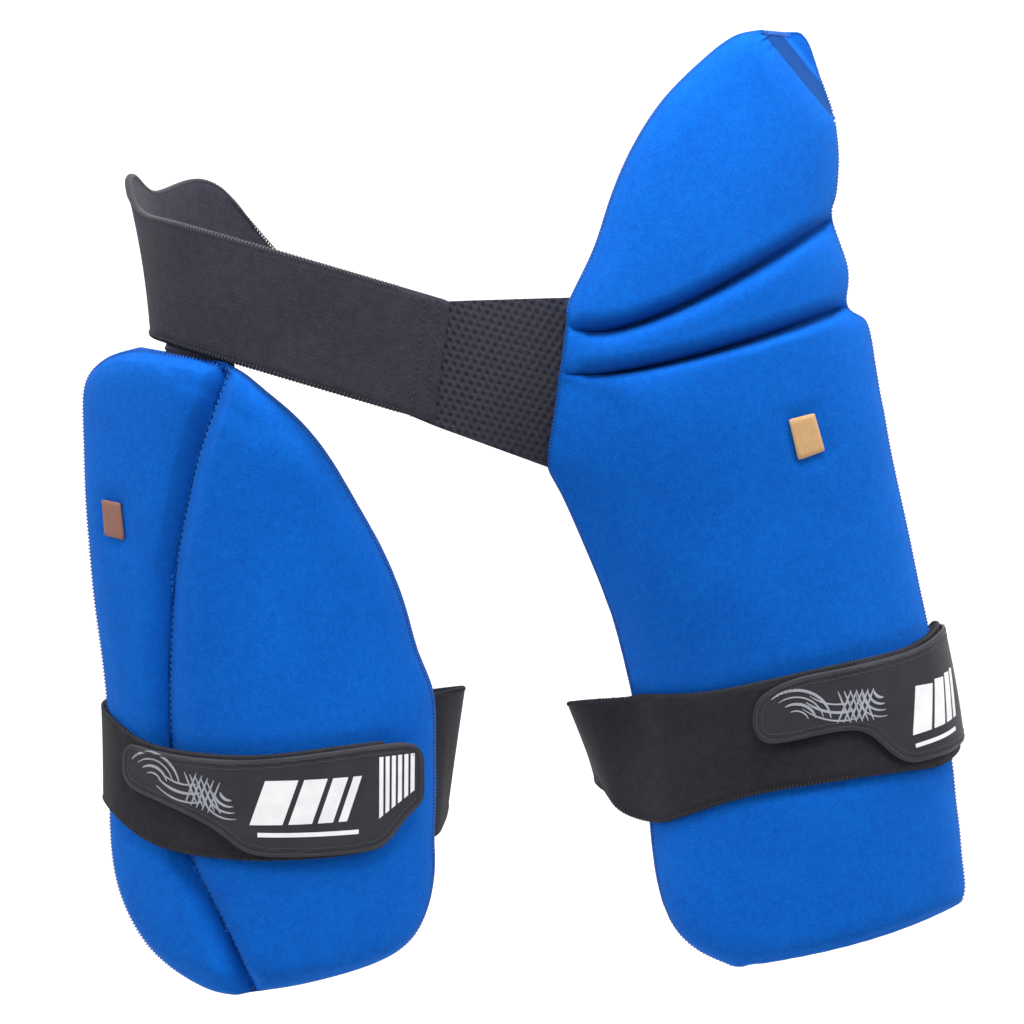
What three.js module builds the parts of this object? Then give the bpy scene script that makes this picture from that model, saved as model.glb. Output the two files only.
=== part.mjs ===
// Cricket thigh guard set, as worn: an outer thigh guard with a hip flap and an inner thigh guard,
// carried on one elastic waist belt, each with an elastic leg strap and a printed hook tab.
// Units are millimetres, +X to the wearer's left, +Y to the wearer's back, +Z up.
// The origin is the middle of the waist loop, where the set sits on its wearer.
import * as THREE from "three";

// Shared thicknesses and clearances
const seatGap = 0.5; // between two pieces sewn or pressed together
const panelGap = 0.8; // between the mesh panel and what it is sewn behind
const strapGap = 0.95; // between an elastic strap and the curved pad that it crosses
const tabGap = 1; // between a strap and its tab
const elasticThickness = 2.2;
const meshThickness = 3;
const hangerThickness = 1.6;
const tabThickness = 1.8;
const labelThickness = 1.2;

// Outer guard: one padded panel, from the hip down the outside of the front thigh
const outerWidth = 164;
const outerHeight = 478;
const outerFoam = 16;
const outerRim = 3.5; // fabric and foam left at the sewn edge
const outerShoulder = 15; // how far in from the edge the foam reaches its full thickness
const outerX = 150; // the guard's middle line and foot, from the waist's middle
const outerFoot = -300;
const outerWrap = 50; // how far a side edge falls back round the thigh
const creaseDepth = 12;
const creaseReach = 9; // from a crease's bottom to the full foam on either side

// Inner guard: one padded panel with a moulded seam, for the inside of the back thigh
const innerWidth = 170;
const innerHeight = 329;
const innerFoam = 15;
const innerRim = 3.5;
const innerShoulder = 14;
const innerX = -125;
const innerFoot = -307;
const innerWrap = 50;
const seamDepth = 9;
const seamOuterFlank = 13; // the seam's wide flank, towards the narrow side panel
const seamMainFlank = 6;

// Waist loop: the elastic belt and the mesh panel that joins it to the outer guard
const beltHeight = 61; // measured upright; the belt itself is 60 wide and slopes
const loopHalfWidth = 183;
const loopHalfDepth = 115;
const loopLevel = 2.2; // the loop's middle line where it crosses the wearer's middle
const loopSlope = 0.295; // falls this much for each millimetre to the wearer's left
const loopDip = 0.055; // and this much for each millimetre to the back
const beltEnd = -28; // the belt's sewn front end
const beltEndSlant = 4; // its corners, past and short of that
const meshOverlap = 13; // the mesh panel's end behind the belt
const meshTuck = 7; // and its other end behind the outer guard's edge

// Leg loops: each strap's loop seen from above is near a circle about its thigh
const outerThigh = { x: outerX - 0.04 * outerWidth, radius: 100, level: -175, width: 66 };
const innerThigh = { x: innerX + 0.065 * innerWidth, radius: 90, level: -205, width: 53 };

// Rows of the outer guard from foot to hip. left and right are the row's ends and leftUp and rightUp
// their heights, as shares of the guard's width and height. ear is the sloping border along the left
// edge and sag how far the row hangs below its chord, as shares of the width.
const outerRows = [
  { left: -0.18, leftUp: 0.012, right: 0.542, rightUp: 0.071, ear: 0.06, sag: -0.013 },
  { left: -0.315, leftUp: 0.028, right: 0.552, rightUp: 0.084, ear: 0.06, sag: -0.008 },
  { left: -0.385, leftUp: 0.055, right: 0.549, rightUp: 0.1, ear: 0.06 },
  { left: -0.422, leftUp: 0.103, right: 0.538, rightUp: 0.138, ear: 0.06 },
  { left: -0.437, leftUp: 0.151, right: 0.524, rightUp: 0.182, ear: 0.06 },
  { left: -0.454, leftUp: 0.212, right: 0.506, rightUp: 0.237, ear: 0.06 },
  { left: -0.484, leftUp: 0.274, right: 0.478, rightUp: 0.298, ear: 0.07 },
  { left: -0.515, leftUp: 0.323, right: 0.436, rightUp: 0.359, ear: 0.08 },
  { left: -0.568, leftUp: 0.388, right: 0.391, rightUp: 0.421, ear: 0.1 },
  { left: -0.645, leftUp: 0.455, right: 0.352, rightUp: 0.478, ear: 0.14 },
  { left: -0.733, leftUp: 0.525, right: 0.296, rightUp: 0.554, ear: 0.22 },
  { left: -0.776, leftUp: 0.553, right: 0.266, rightUp: 0.604, ear: 0.245 },
  { left: -0.755, leftUp: 0.601, right: 0.235, rightUp: 0.651, ear: 0.21, sag: 0.015 },
  { left: -0.74, leftUp: 0.644, right: 0.208, rightUp: 0.699, ear: 0.18, sag: 0.035 },
  { left: -0.735, leftUp: 0.653, right: 0.137, rightUp: 0.717, ear: 0.17, sag: 0.045 },
  { left: -0.726, leftUp: 0.677, right: 0.141, rightUp: 0.756, ear: 0.16, sag: 0.06 },
  { left: -0.717, leftUp: 0.702, right: 0.086, rightUp: 0.808, ear: 0.14, sag: 0.085 },
  { left: -0.71, leftUp: 0.724, right: 0.1, rightUp: 0.834, ear: 0.09, sag: 0.06 },
  { left: -0.636, leftUp: 0.775, right: 0.105, rightUp: 0.868, ear: 0.06, sag: 0.02 },
  { left: -0.59, leftUp: 0.826, right: 0.095, rightUp: 0.899, ear: 0.05 },
  { left: -0.526, leftUp: 0.878, right: 0.082, rightUp: 0.924, ear: 0.05 },
  { left: -0.435, leftUp: 0.927, right: 0.058, rightUp: 0.95, ear: 0.05 },
  { left: -0.323, leftUp: 0.965, right: 0.033, rightUp: 0.975, ear: 0.05 },
  { left: -0.23, leftUp: 0.99, right: 0.007, rightUp: 0.993, ear: 0.05 },
  { left: -0.141, leftUp: 0.997, right: -0.021, rightUp: 0.999, ear: 0.05 },
];
// The two creases between the foam blocks, by the row that each follows.
const outerCreases = [
  { row: 14, depth: 1 },
  { row: 16, depth: 1 },
];
// The hip flap's foam stops at this slanting line, and a thin border goes on to the top corner.
const hipFold = { from: { across: -0.14, up: 1.0 }, to: { across: 0.088, up: 0.912 } };
// How the outer guard's back face lies: its crown's place across and depth, and how far the edges
// fall back from it. Depths are in shares of the wrap, places across in shares of the width.
const outerDepth = [
  { up: 0.0, centre: 0.09, half: 0.49, crown: -1.68, left: 0.68, right: 0.72 },
  { up: 0.3, centre: 0.0, half: 0.49, crown: -1.68, left: 0.8, right: 0.86 },
  { up: 0.5, centre: -0.2, half: 0.52, crown: -1.88, left: 0.32, right: 0.72 },
  { up: 0.62, centre: -0.26, half: 0.5, crown: -2.08, left: 0.16, right: 0.8 },
  { up: 0.8, centre: -0.26, half: 0.38, crown: -2.12, left: 0.24, right: 0.68 },
  { up: 1.0, centre: -0.23, half: 0.37, crown: -1.92, left: 0.32, right: 0.6 },
];

// Rows of the inner guard from foot to top, as for the outer guard. seam is the moulded seam's place.
const innerRows = [
  { left: -0.049, leftUp: 0.0, right: 0.012, rightUp: 0.008, seam: 0.003 },
  { left: -0.155, leftUp: 0.006, right: 0.186, rightUp: 0.02, seam: 0.0 },
  { left: -0.28, leftUp: 0.034, right: 0.398, rightUp: 0.042, seam: -0.018 },
  { left: -0.373, leftUp: 0.073, right: 0.492, rightUp: 0.081, seam: -0.05 },
  { left: -0.44, leftUp: 0.138, right: 0.531, rightUp: 0.149, seam: -0.117 },
  { left: -0.463, leftUp: 0.209, right: 0.532, rightUp: 0.22, seam: -0.193 },
  { left: -0.466, leftUp: 0.28, right: 0.538, rightUp: 0.283, seam: -0.226 },
  { left: -0.466, leftUp: 0.36, right: 0.538, rightUp: 0.371, seam: -0.245 },
  { left: -0.47, leftUp: 0.441, right: 0.534, rightUp: 0.456, seam: -0.249 },
  { left: -0.485, leftUp: 0.52, right: 0.486, rightUp: 0.523, seam: -0.244 },
  { left: -0.505, leftUp: 0.6, right: 0.449, rightUp: 0.603, seam: -0.232 },
  { left: -0.516, leftUp: 0.679, right: 0.391, rightUp: 0.686, seam: -0.214 },
  { left: -0.523, leftUp: 0.757, right: 0.317, rightUp: 0.762, seam: -0.181 },
  { left: -0.523, leftUp: 0.836, right: 0.235, rightUp: 0.841, seam: -0.141 },
  { left: -0.523, leftUp: 0.898, right: 0.147, rightUp: 0.899, seam: -0.098 },
  { left: -0.511, leftUp: 0.946, right: 0.054, rightUp: 0.94, seam: -0.067 },
  { left: -0.445, leftUp: 0.981, right: -0.003, rightUp: 0.964, seam: -0.055 },
  { left: -0.331, leftUp: 0.999, right: -0.056, rightUp: 0.981, seam: -0.09 },
];
const innerDepth = [
  { up: 0.0, centre: 0.0, half: 0.47, crown: -1.6, left: 0.9, right: 0.6 },
  { up: 0.3, centre: 0.04, half: 0.49, crown: -1.64, left: 0.96, right: 0.8 },
  { up: 0.65, centre: 0.0, half: 0.5, crown: -1.74, left: 1.04, right: 0.7 },
  { up: 1.0, centre: 0.0, half: 0.5, crown: -1.94, left: 1.15, right: 0.4 },
];

// The outer leg strap, from the wearer's left side over the guard's front and round the back.
// up and down are its edges over the loop's level, as shares of its width. Over the guard, across is
// its place as a share of the guard's width; off it, turn is the angle round the thigh in degrees and
// reachUp and reachDown the loop's reach at each edge, as shares of its radius. Close beside the
// guard's left (0) or right (1) edge, out and aft are how far out and behind that edge it passes.
const outerStrapRows = [
  { across: 1.24, turn: -4, reachUp: 0.822, reachDown: 0.925, up: 0.69, down: -0.3 },
  { across: 1.17, turn: -11, reachUp: 0.838, reachDown: 0.95, up: 0.755, down: -0.235 },
  { across: 1.1, beside: 1, outUp: 0.05, outDown: 0.04, aftUp: 0.14, aftDown: 0.11, up: 0.795, down: -0.185 },
  { across: 1.03, beside: 1, outUp: 0.03, outDown: 0.03, aftUp: -0.01, aftDown: -0.03, up: 0.795, down: -0.19 },
  { across: 0.965, up: 0.755, down: -0.23 },
  { across: 0.93, up: 0.735, down: -0.24 },
  { across: 0.88, up: 0.7, down: -0.24 },
  { across: 0.82, up: 0.678, down: -0.238 },
  { across: 0.75, up: 0.659, down: -0.238 },
  { across: 0.67, up: 0.63, down: -0.245 },
  { across: 0.59, up: 0.6, down: -0.26 },
  { across: 0.5, up: 0.555, down: -0.29 },
  { across: 0.41, up: 0.505, down: -0.33 },
  { across: 0.33, up: 0.452, down: -0.38 },
  { across: 0.25, up: 0.405, down: -0.45 },
  { across: 0.18, up: 0.366, down: -0.53 },
  { across: 0.12, up: 0.343, down: -0.6 },
  { across: 0.07, up: 0.322, down: -0.665 },
  { across: 0.035, up: 0.3, down: -0.72 },
  { beside: 0, outUp: 0.0, outDown: 0.08, aftUp: -0.11, aftDown: -0.03, up: 0.26, down: -0.725 },
  { beside: 0, outUp: 0.078, outDown: 0.16, aftUp: -0.048, aftDown: 0.04, up: 0.235, down: -0.67 },
  { turn: 203, reachUp: 1.015, reachDown: 0.91, up: 0.205, down: -0.6 },
  { turn: 196, reachUp: 1.055, reachDown: 0.905, up: 0.16, down: -0.54 },
  { turn: 189, reachUp: 1.07, reachDown: 0.895, up: 0.12, down: -0.51 },
  { turn: 181, reachUp: 1.055, reachDown: 0.895, up: 0.08, down: -0.53 },
  { turn: 170, reachUp: 1.01, reachDown: 0.915, up: 0.03, down: -0.64 },
  { turn: 158, reachUp: 0.98, reachDown: 0.91, up: -0.01, down: -0.78 },
  { turn: 144, reachUp: 0.96, reachDown: 0.905, up: -0.07, down: -0.91 },
  { turn: 126, reachUp: 0.935, reachDown: 0.9, up: -0.125, down: -1.04 },
  { turn: 108, reachUp: 0.92, reachDown: 0.9, up: -0.16, down: -1.11 },
  { turn: 90, reachUp: 0.91, reachDown: 0.9, up: -0.167, down: -1.12 },
  { turn: 72, reachUp: 0.9, reachDown: 0.9, up: -0.14, down: -1.1 },
  { turn: 54, reachUp: 0.895, reachDown: 0.9, up: -0.04, down: -1.03 },
  { turn: 38, reachUp: 0.885, reachDown: 0.905, up: 0.12, down: -0.87 },
  { turn: 22, reachUp: 0.87, reachDown: 0.91, up: 0.34, down: -0.64 },
  { turn: 8, reachUp: 0.84, reachDown: 0.915, up: 0.56, down: -0.43 },
];
// The inner leg strap: behind is a share across the guard's back, where the strap is sewn on.
const innerStrapRows = [
  { behind: 0.88, up: 0.84, down: -0.57 },
  { behind: 0.915, up: 0.845, down: -0.575 },
  { behind: 0.95, up: 0.85, down: -0.58 },
  { behind: 0.98, up: 0.86, down: -0.585 },
  { beside: 1, outUp: 0.025, outDown: -0.005, aftUp: 0.1, aftDown: 0.12, up: 0.866, down: -0.58 },
  { turn: -16, reachUp: 1.0, reachDown: 0.92, up: 0.866, down: -0.55 },
  { turn: -8, reachUp: 1.02, reachDown: 0.925, up: 0.84, down: -0.48 },
  { turn: 1, reachUp: 1.03, reachDown: 0.92, up: 0.81, down: -0.395 },
  { turn: 12, reachUp: 1.025, reachDown: 0.91, up: 0.75, down: -0.33 },
  { turn: 28, reachUp: 0.985, reachDown: 0.88, up: 0.65, down: -0.36 },
  { turn: 46, reachUp: 0.955, reachDown: 0.88, up: 0.54, down: -0.47 },
  { turn: 66, reachUp: 0.945, reachDown: 0.9, up: 0.39, down: -0.63 },
  { turn: 86, reachUp: 0.94, reachDown: 0.92, up: 0.3, down: -0.74 },
  { turn: 106, reachUp: 0.945, reachDown: 0.925, up: 0.28, down: -0.76 },
  { turn: 126, reachUp: 0.955, reachDown: 0.935, up: 0.34, down: -0.71 },
  { turn: 144, reachUp: 0.967, reachDown: 0.948, up: 0.43, down: -0.6 },
  { turn: 160, reachUp: 0.98, reachDown: 0.963, up: 0.57, down: -0.47 },
  { turn: 174, reachUp: 0.99, reachDown: 0.975, up: 0.68, down: -0.35 },
  { turn: 186, reachUp: 1.005, reachDown: 0.99, up: 0.74, down: -0.25 },
  { beside: 0, outUp: 0.012, outDown: 0.02, aftUp: 0.1, aftDown: 0.1, up: 0.755, down: -0.205 },
  { beside: 0, outUp: 0.013, outDown: 0.022, aftUp: -0.035, aftDown: -0.03, up: 0.735, down: -0.2 },
  { across: 0.035, up: 0.68, down: -0.27 },
  { across: 0.065, up: 0.62, down: -0.33 },
  { across: 0.1, up: 0.55, down: -0.406 },
  { across: 0.145, up: 0.505, down: -0.465 },
  { across: 0.195, up: 0.475, down: -0.509 },
  { across: 0.26, up: 0.463, down: -0.53 },
  { across: 0.33, up: 0.462, down: -0.536 },
  { across: 0.41, up: 0.466, down: -0.536 },
  { across: 0.49, up: 0.475, down: -0.535 },
  { across: 0.57, up: 0.495, down: -0.533 },
  { across: 0.65, up: 0.52, down: -0.531 },
  { across: 0.73, up: 0.538, down: -0.529 },
  { across: 0.8, up: 0.545, down: -0.515 },
  { across: 0.845, up: 0.545, down: -0.49 },
];
// The printed hook tabs: a tongue that widens to a panel, in the same measures as their straps.
const outerTabRows = [
  { across: 0.36, up: 0.2, down: 0.14 },
  { across: 0.37, up: 0.3, down: 0.06 },
  { across: 0.39, up: 0.385, down: 0.03 },
  { across: 0.425, up: 0.45, down: 0.035 },
  { across: 0.473, up: 0.51, down: 0.06 },
  { across: 0.535, up: 0.56, down: 0.095 },
  { across: 0.606, up: 0.585, down: 0.128 },
  { across: 0.675, up: 0.61, down: 0.125 },
  { across: 0.715, up: 0.622, down: 0.045 },
  { across: 0.75, up: 0.635, down: -0.07 },
  { across: 0.79, up: 0.648, down: -0.15 },
  { across: 0.825, up: 0.66, down: -0.178 },
  { across: 0.88, up: 0.68, down: -0.165 },
  { across: 0.93, up: 0.71, down: -0.158 },
  { across: 0.965, up: 0.735, down: -0.15 },
  { across: 1.03, up: 0.765, down: -0.125 },
  { across: 1.1, up: 0.765, down: -0.12 },
  { across: 1.17, up: 0.73, down: -0.17 },
];
const innerTabRows = [
  { across: 0.087, up: 0.35, down: 0.17 },
  { across: 0.097, up: 0.46, down: 0.09 },
  { across: 0.12, up: 0.485, down: 0.03 },
  { across: 0.16, up: 0.463, down: -0.01 },
  { across: 0.24, up: 0.44, down: -0.08 },
  { across: 0.31, up: 0.435, down: -0.155 },
  { across: 0.37, up: 0.437, down: -0.24 },
  { across: 0.42, up: 0.44, down: -0.36 },
  { across: 0.455, up: 0.443, down: -0.45 },
  { across: 0.51, up: 0.453, down: -0.49 },
  { across: 0.6, up: 0.478, down: -0.497 },
  { across: 0.69, up: 0.503, down: -0.498 },
  { across: 0.77, up: 0.52, down: -0.498 },
  { across: 0.82, up: 0.527, down: -0.49 },
  { across: 0.852, up: 0.528, down: -0.43 },
  { across: 0.875, up: 0.527, down: -0.33 },
  { across: 0.905, up: 0.515, down: -0.2 },
  { across: 0.935, up: 0.478, down: -0.13 },
  { across: 0.952, up: 0.38, down: -0.05 },
];
// The two small fabric labels, by their corners, as shares of their guard's width and height.
const outerLabelCorners = [[-0.0616, 0.6040], [0.0165, 0.6098], [0.0518, 0.5709], [-0.0293, 0.5621]];
const innerLabelCorners = [[-0.4471, 0.7644], [-0.3853, 0.7617], [-0.3753, 0.7049], [-0.4400, 0.7091]];

// The belt round the waist: turn is the angle from the wearer's left, lift how far its top edge
// stands over the loop's plane where the elastic has rolled, lean how far the top tips outwards,
// both as shares of its height.
const beltRows = [
  { turn: 259 },
  { turn: 253 },
  { turn: 247 },
  { turn: 241 },
  { turn: 236 },
  { turn: 231 },
  { turn: 226.5 },
  { turn: 222 },
  { turn: 217.5 },
  { turn: 213 },
  { turn: 208.5, lean: 0.02 },
  { turn: 203, lift: 0.03, lean: 0.08 },
  { turn: 198, lift: 0.09, lean: 0.16 },
  { turn: 193, lift: 0.23, lean: 0.26 },
  { turn: 188, lift: 0.35, lean: 0.29 },
  { turn: 180, lift: 0.39, lean: 0.29 },
  { turn: 171, lift: 0.32, lean: 0.25 },
  { turn: 164, lift: 0.26, lean: 0.19 },
  { turn: 157, lift: 0.32, lean: 0.14 },
  { turn: 150, lift: 0.44, lean: 0.1 },
  { turn: 144, lift: 0.54, lean: 0.08 },
  { turn: 138.5, lift: 0.52, lean: 0.06 },
  { turn: 134, lift: 0.35, lean: 0.03 },
  { turn: 130.5, lift: 0.12, lean: 0.02 },
  { turn: 127 },
  { turn: 122 },
  { turn: 114 },
  { turn: 104 },
  { turn: 92 },
  { turn: 80 },
  { turn: 70 },
  { turn: 62 },
  { turn: 56 },
  { turn: 51 },
  { turn: 46.5 },
  { turn: 42 },
  { turn: 37.5 },
  { turn: 33 },
  { turn: 27 },
  { turn: 20 },
  { turn: 10 },
  { turn: 0 },
  { turn: -10 },
  { turn: -18 },
  { turn: -24 },
];
// Its end on the outer guard's back: places across, as shares of the guard's width.
const beltSewnEnd = [0.158, 0.122, 0.08, 0.03, -0.018];

// Mesh panel, by the heights of its edges at the belt's end and at the guard,
// in shares of the belt's height, and their places in shares of the waist loop's half width.
const meshAtBelt = { across: -0.146, up: 0.75, down: -0.27 };
const meshAtGuard = { across: 0.157, up: 0.773, down: -0.645 };

// The plain strip that hangs the inner guard from the belt
const hanger = { from: -167, to: -131, underBelt: 26, behindGuard: 24 };

// Small helpers on tables

// A column of a table at a real row number, on a smooth curve through its rows.
function smooth(rows, column, at) {
  const i = Math.min(Math.max(Math.floor(at), 0), rows.length - 2);
  const f = at - i;
  const value = (k) => rows[Math.min(Math.max(k, 0), rows.length - 1)][column] ?? 0;
  const [a, b, c, d] = [value(i - 1), value(i), value(i + 1), value(i + 2)];
  return (
    b + 0.5 * f * (c - a + f * (2 * a - 5 * b + 4 * c - d + f * (3 * (b - c) + d - a)))
  );
}

// A column of a table, read by another column that grows down the rows.
function lookUp(rows, key, at, column) {
  let i = 0;
  while (i < rows.length - 2 && rows[i + 1][key] < at) i += 1;
  const f = (at - rows[i][key]) / (rows[i + 1][key] - rows[i][key]);
  return smooth(rows, column, i + Math.min(Math.max(f, 0), 1));
}

function lerp(a, b, f) {
  return a + (b - a) * f;
}

// 0 at the edge, 1 at full foam, with the round shoulder of a moulded pad between them.
function roundShoulder(share) {
  const left = 1 - Math.min(Math.max(share, 0), 1);
  return Math.sqrt(1 - left * left);
}

function easeInOut(share) {
  const x = Math.min(Math.max(share, 0), 1);
  return x * x * (3 - 2 * x);
}

// Shares from 0 to 1, closer together towards both ends.
function closeAtEnds(steps) {
  return Array.from({ length: steps + 1 }, (_, i) => (1 - Math.cos((Math.PI * i) / steps)) / 2);
}

// Two matching grids of points, an inner and an outer face, made into one solid. In a closed one
// the last column goes on to the first.
function solidBetween(inner, outer, closed) {
  const rows = inner.length;
  const columns = inner[0].length;
  const points = [...inner.flat(), ...outer.flat()];
  const near = (i, j) => i * columns + (j % columns);
  const far = (i, j) => rows * columns + near(i, j);
  const faces = [];
  const quad = (a, b, c, d) => faces.push(a, b, c, a, c, d);
  const lastRow = rows - 1;
  const lastColumn = closed ? columns : columns - 1;
  for (let j = 0; j < lastColumn; j += 1) {
    for (let i = 0; i < lastRow; i += 1) {
      quad(near(i, j), near(i + 1, j), near(i + 1, j + 1), near(i, j + 1));
      quad(far(i, j), far(i, j + 1), far(i + 1, j + 1), far(i + 1, j));
    }
    quad(near(0, j + 1), far(0, j + 1), far(0, j), near(0, j));
    quad(near(lastRow, j), far(lastRow, j), far(lastRow, j + 1), near(lastRow, j + 1));
  }
  for (let i = 0; i < lastRow && !closed; i += 1) {
    quad(near(i, 0), far(i, 0), far(i + 1, 0), near(i + 1, 0));
    quad(near(i + 1, lastColumn), far(i + 1, lastColumn), far(i, lastColumn), near(i, lastColumn));
  }
  let sixVolumes = 0;
  for (let k = 0; k < faces.length; k += 3) {
    const [a, b, c] = [points[faces[k]], points[faces[k + 1]], points[faces[k + 2]]];
    sixVolumes += a.dot(new THREE.Vector3().crossVectors(b, c));
  }
  if (sixVolumes < 0) faces.reverse();
  const geometry = new THREE.BufferGeometry().setFromPoints(points);
  geometry.setIndex(faces);
  geometry.computeVertexNormals();
  return geometry;
}

// The unit normal of a grid of points at each of them, on the side that outward points to.
function gridNormals(grid, outward) {
  return grid.map((row, i) =>
    row.map((point, j) => {
      const along = new THREE.Vector3().subVectors(
        grid[Math.min(i + 1, grid.length - 1)][j],
        grid[Math.max(i - 1, 0)][j],
      );
      const across = new THREE.Vector3().subVectors(
        row[Math.min(j + 1, row.length - 1)],
        row[Math.max(j - 1, 0)],
      );
      const normal = along.cross(across).normalize();
      return normal.dot(outward(point)) < 0 ? normal.negate() : normal;
    }),
  );
}

function pushed(grid, normals, by) {
  return grid.map((row, i) => row.map((p, j) => p.clone().addScaledVector(normals[i][j], by)));
}

function piece(name, geometry, colour, roughness) {
  const material = new THREE.MeshStandardMaterial({ color: colour, roughness, metalness: 0 });
  const mesh = new THREE.Mesh(geometry, material);
  mesh.name = name;
  return mesh;
}

// Padded guards

// Distance from a point to a closed outline, all in the front plane.
function distanceToOutline(point, outline) {
  let least = Infinity;
  for (let k = 0; k < outline.length; k += 1) {
    const a = outline[k];
    const b = outline[(k + 1) % outline.length];
    const [sx, sy, px, py] = [b.x - a.x, b.y - a.y, point.x - a.x, point.y - a.y];
    const share = (px * sx + py * sy) / Math.max(sx * sx + sy * sy, 1e-9);
    const f = Math.min(Math.max(share, 0), 1);
    least = Math.min(least, Math.hypot(px - f * sx, py - f * sy));
  }
  return least;
}

// A guard as a set of measures that its panel, straps and labels share. point gives a place in the
// front plane from a row number and a share across; back and front give depths at such places.
function padShape({ rows, depth, width, height, x, foot, wrap, leftPower, foam, groove }) {
  const point = (row, share) => {
    const sag = smooth(rows, "sag", row) * width * Math.sin(Math.PI * share ** 0.6);
    return new THREE.Vector2(
      x + lerp(smooth(rows, "left", row), smooth(rows, "right", row), share) * width,
      foot + lerp(smooth(rows, "leftUp", row), smooth(rows, "rightUp", row), share) * height - sag,
    );
  };
  const back = (p) => {
    const up = (p.y - foot) / height;
    const [centre, half, crown, left, right] = ["centre", "half", "crown", "left", "right"].map(
      (column) => lookUp(depth, "up", up, column),
    );
    const off = ((p.x - x) / width - centre) / half;
    return wrap * (crown + (off < 0 ? left * (-off) ** leftPower : right * off ** 2));
  };
  const outline = [];
  for (let row = 0; row <= rows.length - 1; row += 0.25) outline.push(point(row, 0));
  for (let row = rows.length - 1; row >= 0; row -= 0.25) outline.push(point(row, 1));
  // The front as a strap meets it, over the grooves, and the front itself.
  const overGrooves = (p, row, share) => back(p) - foam(p, row, share, distanceToOutline(p, outline));
  const front = (p, row, share) => {
    const full = foam(p, row, share, distanceToOutline(p, outline));
    return back(p) - full + groove(p, row, share, full);
  };
  // The row at a height, for a share across, and both for a place in the front plane.
  const rowAt = (share, z) => {
    let [low, high] = [0, rows.length - 1];
    for (let k = 0; k < 24; k += 1) {
      const middle = (low + high) / 2;
      if (point(middle, share).y < z) low = middle;
      else high = middle;
    }
    return low;
  };
  const onFront = (share, z) => {
    const row = rowAt(share, z);
    const p = point(row, share);
    return new THREE.Vector3(p.x, overGrooves(p, row, share), z);
  };
  const onBack = (share, z) => {
    const p = point(rowAt(share, z), share);
    return new THREE.Vector3(p.x, back(p), z);
  };
  const shareAt = (placeX, z) => {
    let share = 0.5;
    for (let k = 0; k < 8; k += 1) {
      const row = rowAt(share, z);
      const [left, right] = [point(row, 0).x, point(row, 1).x];
      share = (placeX - left) / (right - left);
    }
    return share;
  };
  const place = ([across, up]) => new THREE.Vector2(x + across * width, foot + up * height);
  return { rows, point, back, front, onFront, onBack, shareAt, place };
}

// A panel's rows, closer together at its creases and at both ends.
function rowNumbers(rows, creases) {
  const numbers = [];
  for (let at = 0; at < rows.length - 1; ) {
    numbers.push(at);
    const nearCrease = creases.some((crease) => Math.abs(crease - at - 0.1) < 1);
    const nearEnd = at < 1 || at >= rows.length - 2;
    at = Math.round((at + (nearCrease || nearEnd ? 0.25 : 0.5)) * 4) / 4;
  }
  return [...numbers, rows.length - 1];
}

function padMesh(name, pad, numbers, shares) {
  const back = [];
  const front = [];
  for (const row of numbers) {
    const points = shares(row).map((share) => [share, pad.point(row, share)]);
    back.push(points.map(([, p]) => new THREE.Vector3(p.x, pad.back(p), p.y)));
    front.push(points.map(([share, p]) => new THREE.Vector3(p.x, pad.front(p, row, share), p.y)));
  }
  return piece(name, solidBetween(back, front, false), 0x0f62d2, 0.9);
}

// How far a place on the outer guard is in from its sloping left border, as a share of the border.
function pastBorder(p, row) {
  const ear = smooth(outerRows, "ear", row) * outerWidth;
  const edge = outerX + smooth(outerRows, "left", row) * outerWidth;
  return easeInOut((p.x - edge) / ear);
}

const foldStart = new THREE.Vector2(hipFold.from.across * outerWidth, hipFold.from.up * outerHeight);
const foldEnd = new THREE.Vector2(hipFold.to.across * outerWidth, hipFold.to.up * outerHeight);
const foldWay = new THREE.Vector2().subVectors(foldEnd, foldStart).normalize();

const outerPad = padShape({
  rows: outerRows,
  depth: outerDepth,
  width: outerWidth,
  height: outerHeight,
  x: outerX,
  foot: outerFoot,
  wrap: outerWrap,
  leftPower: 2,
  foam: (p, row, share, edge) => {
    const own = new THREE.Vector2(p.x - outerX, p.y - outerFoot);
    const pastFold = own.sub(foldStart).cross(foldWay);
    const full = Math.min(
      roundShoulder(edge / outerShoulder),
      lerp(0.35, 1, pastBorder(p, row)),
      Math.max(roundShoulder(pastFold / outerShoulder), 0.12),
    );
    return lerp(outerRim, outerFoam, full);
  },
  groove: (p, row, share, foam) => {
    let cut = 0;
    for (const crease of outerCreases) {
      const away = p.distanceTo(outerPad.point(crease.row, share)) / creaseReach;
      const deep = Math.min(lerp(0.25, 1, pastBorder(p, row)) * creaseDepth, foam - outerRim);
      cut = Math.max(cut, deep * (1 - roundShoulder(away)));
    }
    return cut;
  },
});

const innerPad = padShape({
  rows: innerRows,
  depth: innerDepth,
  width: innerWidth,
  height: innerHeight,
  x: innerX,
  foot: innerFoot,
  wrap: innerWrap,
  leftPower: 1.6,
  foam: (p, row, share, edge) => lerp(innerRim, innerFoam, roundShoulder(edge / innerShoulder)),
  groove: (p, row, share, foam) => {
    const off = p.x - innerX - smooth(innerRows, "seam", row) * innerWidth;
    const away = off < 0 ? -off / seamOuterFlank : off / seamMainFlank;
    return Math.min(seamDepth, foam - innerRim) * Math.max(1 - away, 0) ** 1.2;
  },
});

function outerGuard() {
  const columns = closeAtEnds(16);
  const creaseRows = outerCreases.map((crease) => crease.row);
  return padMesh("outer_guard", outerPad, rowNumbers(outerRows, creaseRows), () => columns);
}

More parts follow.
